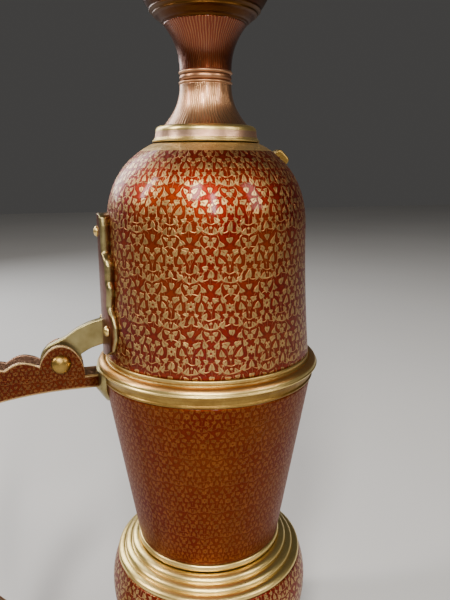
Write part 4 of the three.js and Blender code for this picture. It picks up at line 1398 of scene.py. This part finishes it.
@dataclass
class Hinge:
    """The hood's plate and web, the pin with its rove and washers, and the rivets on the hood and the lower
    plate.
    """

    finishes: Finishes
    hood: Hood
    knuckle: float = 8.4 * MM
    plate_radius: float = 46.0 * MM

    def __post_init__(self) -> None:
        """Reads the hinge from the record."""
        pos = frame["record"]["behaviour"]["joints"][0]["pos_m"]
        self.pin = (-pos[0], pos[2])

    def build(self) -> None:
        """Builds the plate, the web, the pin, its washers and the rivets."""
        self._plate()
        self._web()
        self._pin()
        self._rove()
        for side in ("near", "far"):
            self._washer(f"spacer_washer_{side}")
        for place in ("top", "near", "far"):
            self._rivet(f"hood_rivet_{place}", Body.HOOD, 0.0)
        self._rivet("lower_plate_rivet_top", Body.JUG, 0.31)
        self._rivet("lower_plate_rivet_bottom", Body.JUG, 0.62)

    def _plate(self) -> None:
        """Builds the plate: a rounded tongue, two lobes and a narrow head, upright outside."""
        low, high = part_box("hood_plate")
        rise = np.array([0, 0.5, 1.6, 4.7, 10, 15, 19, 22.5, 25, 28, 31, 33, 36, 39.5, 42, 43.3, 44.6,
                         50, 55, 58.4, 59.2, 59.6]) * MM
        half = np.array([0.4, 4.5, 9.0, 15.2, 17.5, 17.2, 15.3, 12.0, 12.4, 13.3, 13.2, 11.6, 12.0,
                         11.9, 10.6, 8.6, 7.3, 7.3, 7.2, 6.6, 5.4, 3.0]) * MM
        share = np.linspace(0, 1, 241)
        height = rise[-1] * (share - np.sin(TURN * share) / TURN * 0.55)
        height = np.clip(height, 0, rise[-1])
        width = np.interp(height, rise, half)
        kernel = np.hanning(9)
        width[5:-5] = np.convolve(width, kernel / kernel.sum(), "same")[5:-5]
        level = low.z + (high.z - low.z) * height / rise[-1]
        back = self.hood.radius_at(level) - 0.1 * MM

        def front(across: np.ndarray) -> np.ndarray:
            """An upright face with a slight crown."""
            crown = self.plate_radius - 0.25 * MM * across[None, :] ** 2
            return np.broadcast_to(crown, (len(level), len(across)))

        skin = pad(level, width, back, front, 0.6 * MM)
        put("escutcheon", skin, Body.HOOD, Slot.CAST, "hood_plate", self.finishes.plate)

    def _web(self) -> None:
        """Builds the quarter-arc web, between its upper and its lower edge.

        Both edges leave the plate and end where the knuckle meets its own far side.
        """
        low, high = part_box("hinge_web")
        x, z = self.pin
        r = self.knuckle
        start = self.plate_radius - 0.4 * MM
        span = x - start
        upper = catmull([(start, z + 17.2 * MM), (start + 0.3 * span, z + 15.8 * MM),
                         (start + 0.6 * span, z + 13.4 * MM), (start + 0.85 * span, z + 10.3 * MM)])
        over = arc(self.pin, (r, r), 70, -30, 30)
        under = arc(self.pin, (r, r), 166, 330, 40)
        lower = catmull([(start, z + 6.2 * MM), (start + 0.3 * span, z + 4.6 * MM),
                         (x - r - 0.3 * MM, z + 2.5 * MM)])
        top = resample(np.vstack([upper, over]), 150)
        bottom = resample(np.vstack([lower, under]), 150)
        skin = slab(top, bottom, 0.0, high.y - low.y, 0.5 * MM)
        put("web", skin, Body.HOOD, Slot.CAST, "hinge_web", self.finishes.cast)

    def _to_pin(self) -> Matrix:
        """Turns +Z to -Y, the near side, and moves the axis to the pin."""
        return Matrix.Translation((-self.pin[0], 0, self.pin[1])) @ Matrix.Rotation(np.pi / 2, 4, "X")

    def _pin(self) -> None:
        """Builds the pin: a domed head on the near side and a shank."""
        low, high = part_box("hinge_pin")
        radius = (high.x - low.x) / 2
        head = 2.4 * MM
        top = -low.y
        crown = dome(radius, head + 0.3 * MM, 16) + np.array([0, top - head - 0.3 * MM])
        crown[-1, 0] = 0.0
        shank = 2.4 * MM
        outline = np.vstack([[(0, -high.y), (shank, -high.y), (shank, top - head - 0.3 * MM)], crown])
        skin = swung(revolve(outline, 96, closed=False), self._to_pin())
        put("pin", skin, Body.JUG, Slot.CAST, "hinge_pin", self.finishes.olive)

    def _rove(self) -> None:
        """Builds the domed washer under the pin's spread end."""
        low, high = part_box("pin_rove")
        radius = (high.x - low.x) / 2
        bore = 2.5 * MM
        outline = fillet([
            (bore, -high.y), (bore + 0.7 * MM, -high.y), (radius - 0.6 * MM, -low.y - 1.0 * MM),
            (radius, -low.y - 0.5 * MM), (radius, -low.y), (bore, -low.y), (bore, -high.y),
        ], 0.3 * MM)
        skin = swung(revolve(outline[:-1], 96), self._to_pin())
        put("rove", skin, Body.JUG, Slot.CAST, "pin_rove", self.finishes.bright)

    def _washer(self, node: str) -> None:
        """Builds one washer beside the web."""
        low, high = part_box(node)
        radius, bore = (high.x - low.x) / 2, 2.65 * MM
        outline = fillet([(bore, -high.y), (radius, -high.y), (radius, -low.y), (bore, -low.y),
                          (bore, -high.y)], 0.25 * MM)
        skin = swung(revolve(outline[:-1], 96), self._to_pin())
        put(node.replace("spacer_", ""), skin, Body.JUG, Slot.TURNED, node, self.finishes.brass)

    def _rivet(self, node: str, body: Body, lean: float) -> None:
        """Builds a domed rivet square to its wall.

        Args:
            node: The CAD rivet that it stands for.
            body: The body that it rides on.
            lean: How far its head tips down from level, in radians.
        """
        points = cad_points(node)
        middle = (points.min(0) + points.max(0)) / 2
        turn = np.arctan2(middle[1], middle[0])
        out = np.array([np.cos(turn) * np.cos(lean), np.sin(turn) * np.cos(lean), -np.sin(lean)])
        reach = points @ out
        top, tail = reach.max(), reach.min()
        head = 2.2 * MM
        height = 1.6 * MM
        crown = dome(head, height, 12) + np.array([0, top - height])
        crown[-1, 0] = 0.0
        neck = 1.2 * MM
        end = 1.9 * MM
        outline = np.vstack([[(0, tail), (end * 0.8, tail), (end, tail + 0.3 * MM), (end, tail + 0.9 * MM),
                              (neck, tail + 0.9 * MM), (neck, top - height)], crown])
        centre = points[np.abs(reach - top) < 0.05 * MM].mean(0)
        base = centre - out * top
        matrix = Matrix.Translation(base) @ Matrix.Rotation(turn, 4, "Z") @ Matrix.Rotation(
            np.pi / 2 + lean, 4, "Y")
        skin = swung(revolve(outline, 64, closed=False), matrix)
        put(f"{node}_head", skin, body, Slot.TURNED, node, self.finishes.bright)


# ------------------------------------------------------------------ setting


@dataclass
class Studio:
    """The pale floor, the soft lights and the camera."""

    distance: float = 247.5 * MM
    height: float = 249.75 * MM
    bearing: float = 14.0
    aside: float = 1.825
    pitch: float = 13.2
    lens: float = 34.5

    def build(self) -> None:
        """Sets the floor, the world, the lights and the camera."""
        self._floor()
        self._world(0.06)
        self._light("side_left", (-1.0, 0.1, 0.9), (0.0, 0.0, 0.2), 0.12, 0.5, 9.0, (1.0, 0.93, 0.9))
        self._light("window_left", (-0.5, -0.95, 1.15), (0.0, 0.0, 0.2), 0.22, 0.5, 17.0, (1.0, 0.97, 0.92))
        self._light("window_front", (-0.12, -1.15, 0.8), (0.0, 0.0, 0.2), 0.1, 0.5, 9.0, (1.0, 0.97, 0.93))
        self._light("fill_right", (0.7, -0.7, 0.8), (0.0, 0.0, 0.2), 0.25, 0.6, 5.0, (1.0, 0.93, 0.85))
        self._light("rim_back", (-0.5, 0.9, 0.7), (0.0, 0.0, 0.2), 0.5, 0.7, 8.0, (0.95, 0.97, 1.0))
        self._camera()

    @staticmethod
    def _floor() -> None:
        """Lays a pale floor under the foot."""
        half = 3.0
        corners = [(-half, -half, 0), (half, -half, 0), (half, half, 0), (-half, half, 0)]
        mesh = bpy.data.meshes.new("floor")
        mesh.from_pydata(corners, [], [(0, 1, 2, 3)])
        floor = bpy.data.objects.new("floor", mesh)
        bpy.context.scene.collection.objects.link(floor)
        g = Graph("floor_paint")
        tone = g.noise(g.place(), 3.0, 2.0)
        colour = g.mix(tone, (0.62, 0.61, 0.59, 1), (0.68, 0.67, 0.65, 1))
        mesh.materials.append(g.finish({"Base Color": colour, "Roughness": 0.75}))

    @staticmethod
    def _world(strength: float) -> None:
        """Fills the room with a little even light."""
        world = bpy.data.worlds.new("room")
        world.use_nodes = True
        back = world.node_tree.nodes["Background"]
        back.inputs["Color"].default_value = (1.0, 0.97, 0.94, 1)
        back.inputs["Strength"].default_value = strength
        bpy.context.scene.world = world

    @staticmethod
    def _light(name: str, place: tuple, target: tuple, width: float, height: float,
               power: float, colour: tuple) -> None:
        """Hangs one soft light that faces a point."""
        data = bpy.data.lights.new(name, "AREA")
        data.shape = "RECTANGLE"
        data.size = width
        data.size_y = height
        data.energy = power
        data.color = colour
        lamp = bpy.data.objects.new(name, data)
        bpy.context.scene.collection.objects.link(lamp)
        way = np.array(target) - np.array(place)
        yaw = np.arctan2(way[0], way[1])
        drop = np.arctan2(-way[2], np.hypot(way[0], way[1]))
        turn = Matrix.Rotation(-yaw, 4, "Z") @ Matrix.Rotation(np.pi / 2 - drop, 4, "X")
        lamp.matrix_world = Matrix.Translation(place) @ turn

    def _camera(self) -> None:
        """Stands the camera level with the dome, turned slightly past the axis."""
        data = bpy.data.cameras.new("camera")
        data.lens = self.lens
        data.clip_start = 0.01
        camera = bpy.data.objects.new("camera", data)
        bpy.context.scene.collection.objects.link(camera)
        turn = np.radians(self.bearing)
        place = (-self.distance * np.sin(turn), -self.distance * np.cos(turn), self.height)
        heading = np.radians(self.bearing + self.aside)
        tilt = np.pi / 2 - np.radians(self.pitch)
        facing = Matrix.Rotation(-heading, 4, "Z") @ Matrix.Rotation(tilt, 4, "X")
        camera.matrix_world = Matrix.Translation(place) @ facing
        bpy.context.scene.camera = camera


def main() -> None:
    """Builds the setting and then each part of the ewer in order."""
    logging.basicConfig(level=logging.INFO, format="%(name)s %(message)s")
    Studio().build()
    finishes = Finishes()
    bulb = Bulb(finishes)
    cup = Cup(finishes)
    hood = Hood(finishes)
    parts = (Foot(finishes), bulb, cup, hood, Neck(finishes), Handle(finishes, bulb, cup),
             Hinge(finishes, hood))
    for part in parts:
        part.build()


if __name__ == "__main__":
    main()
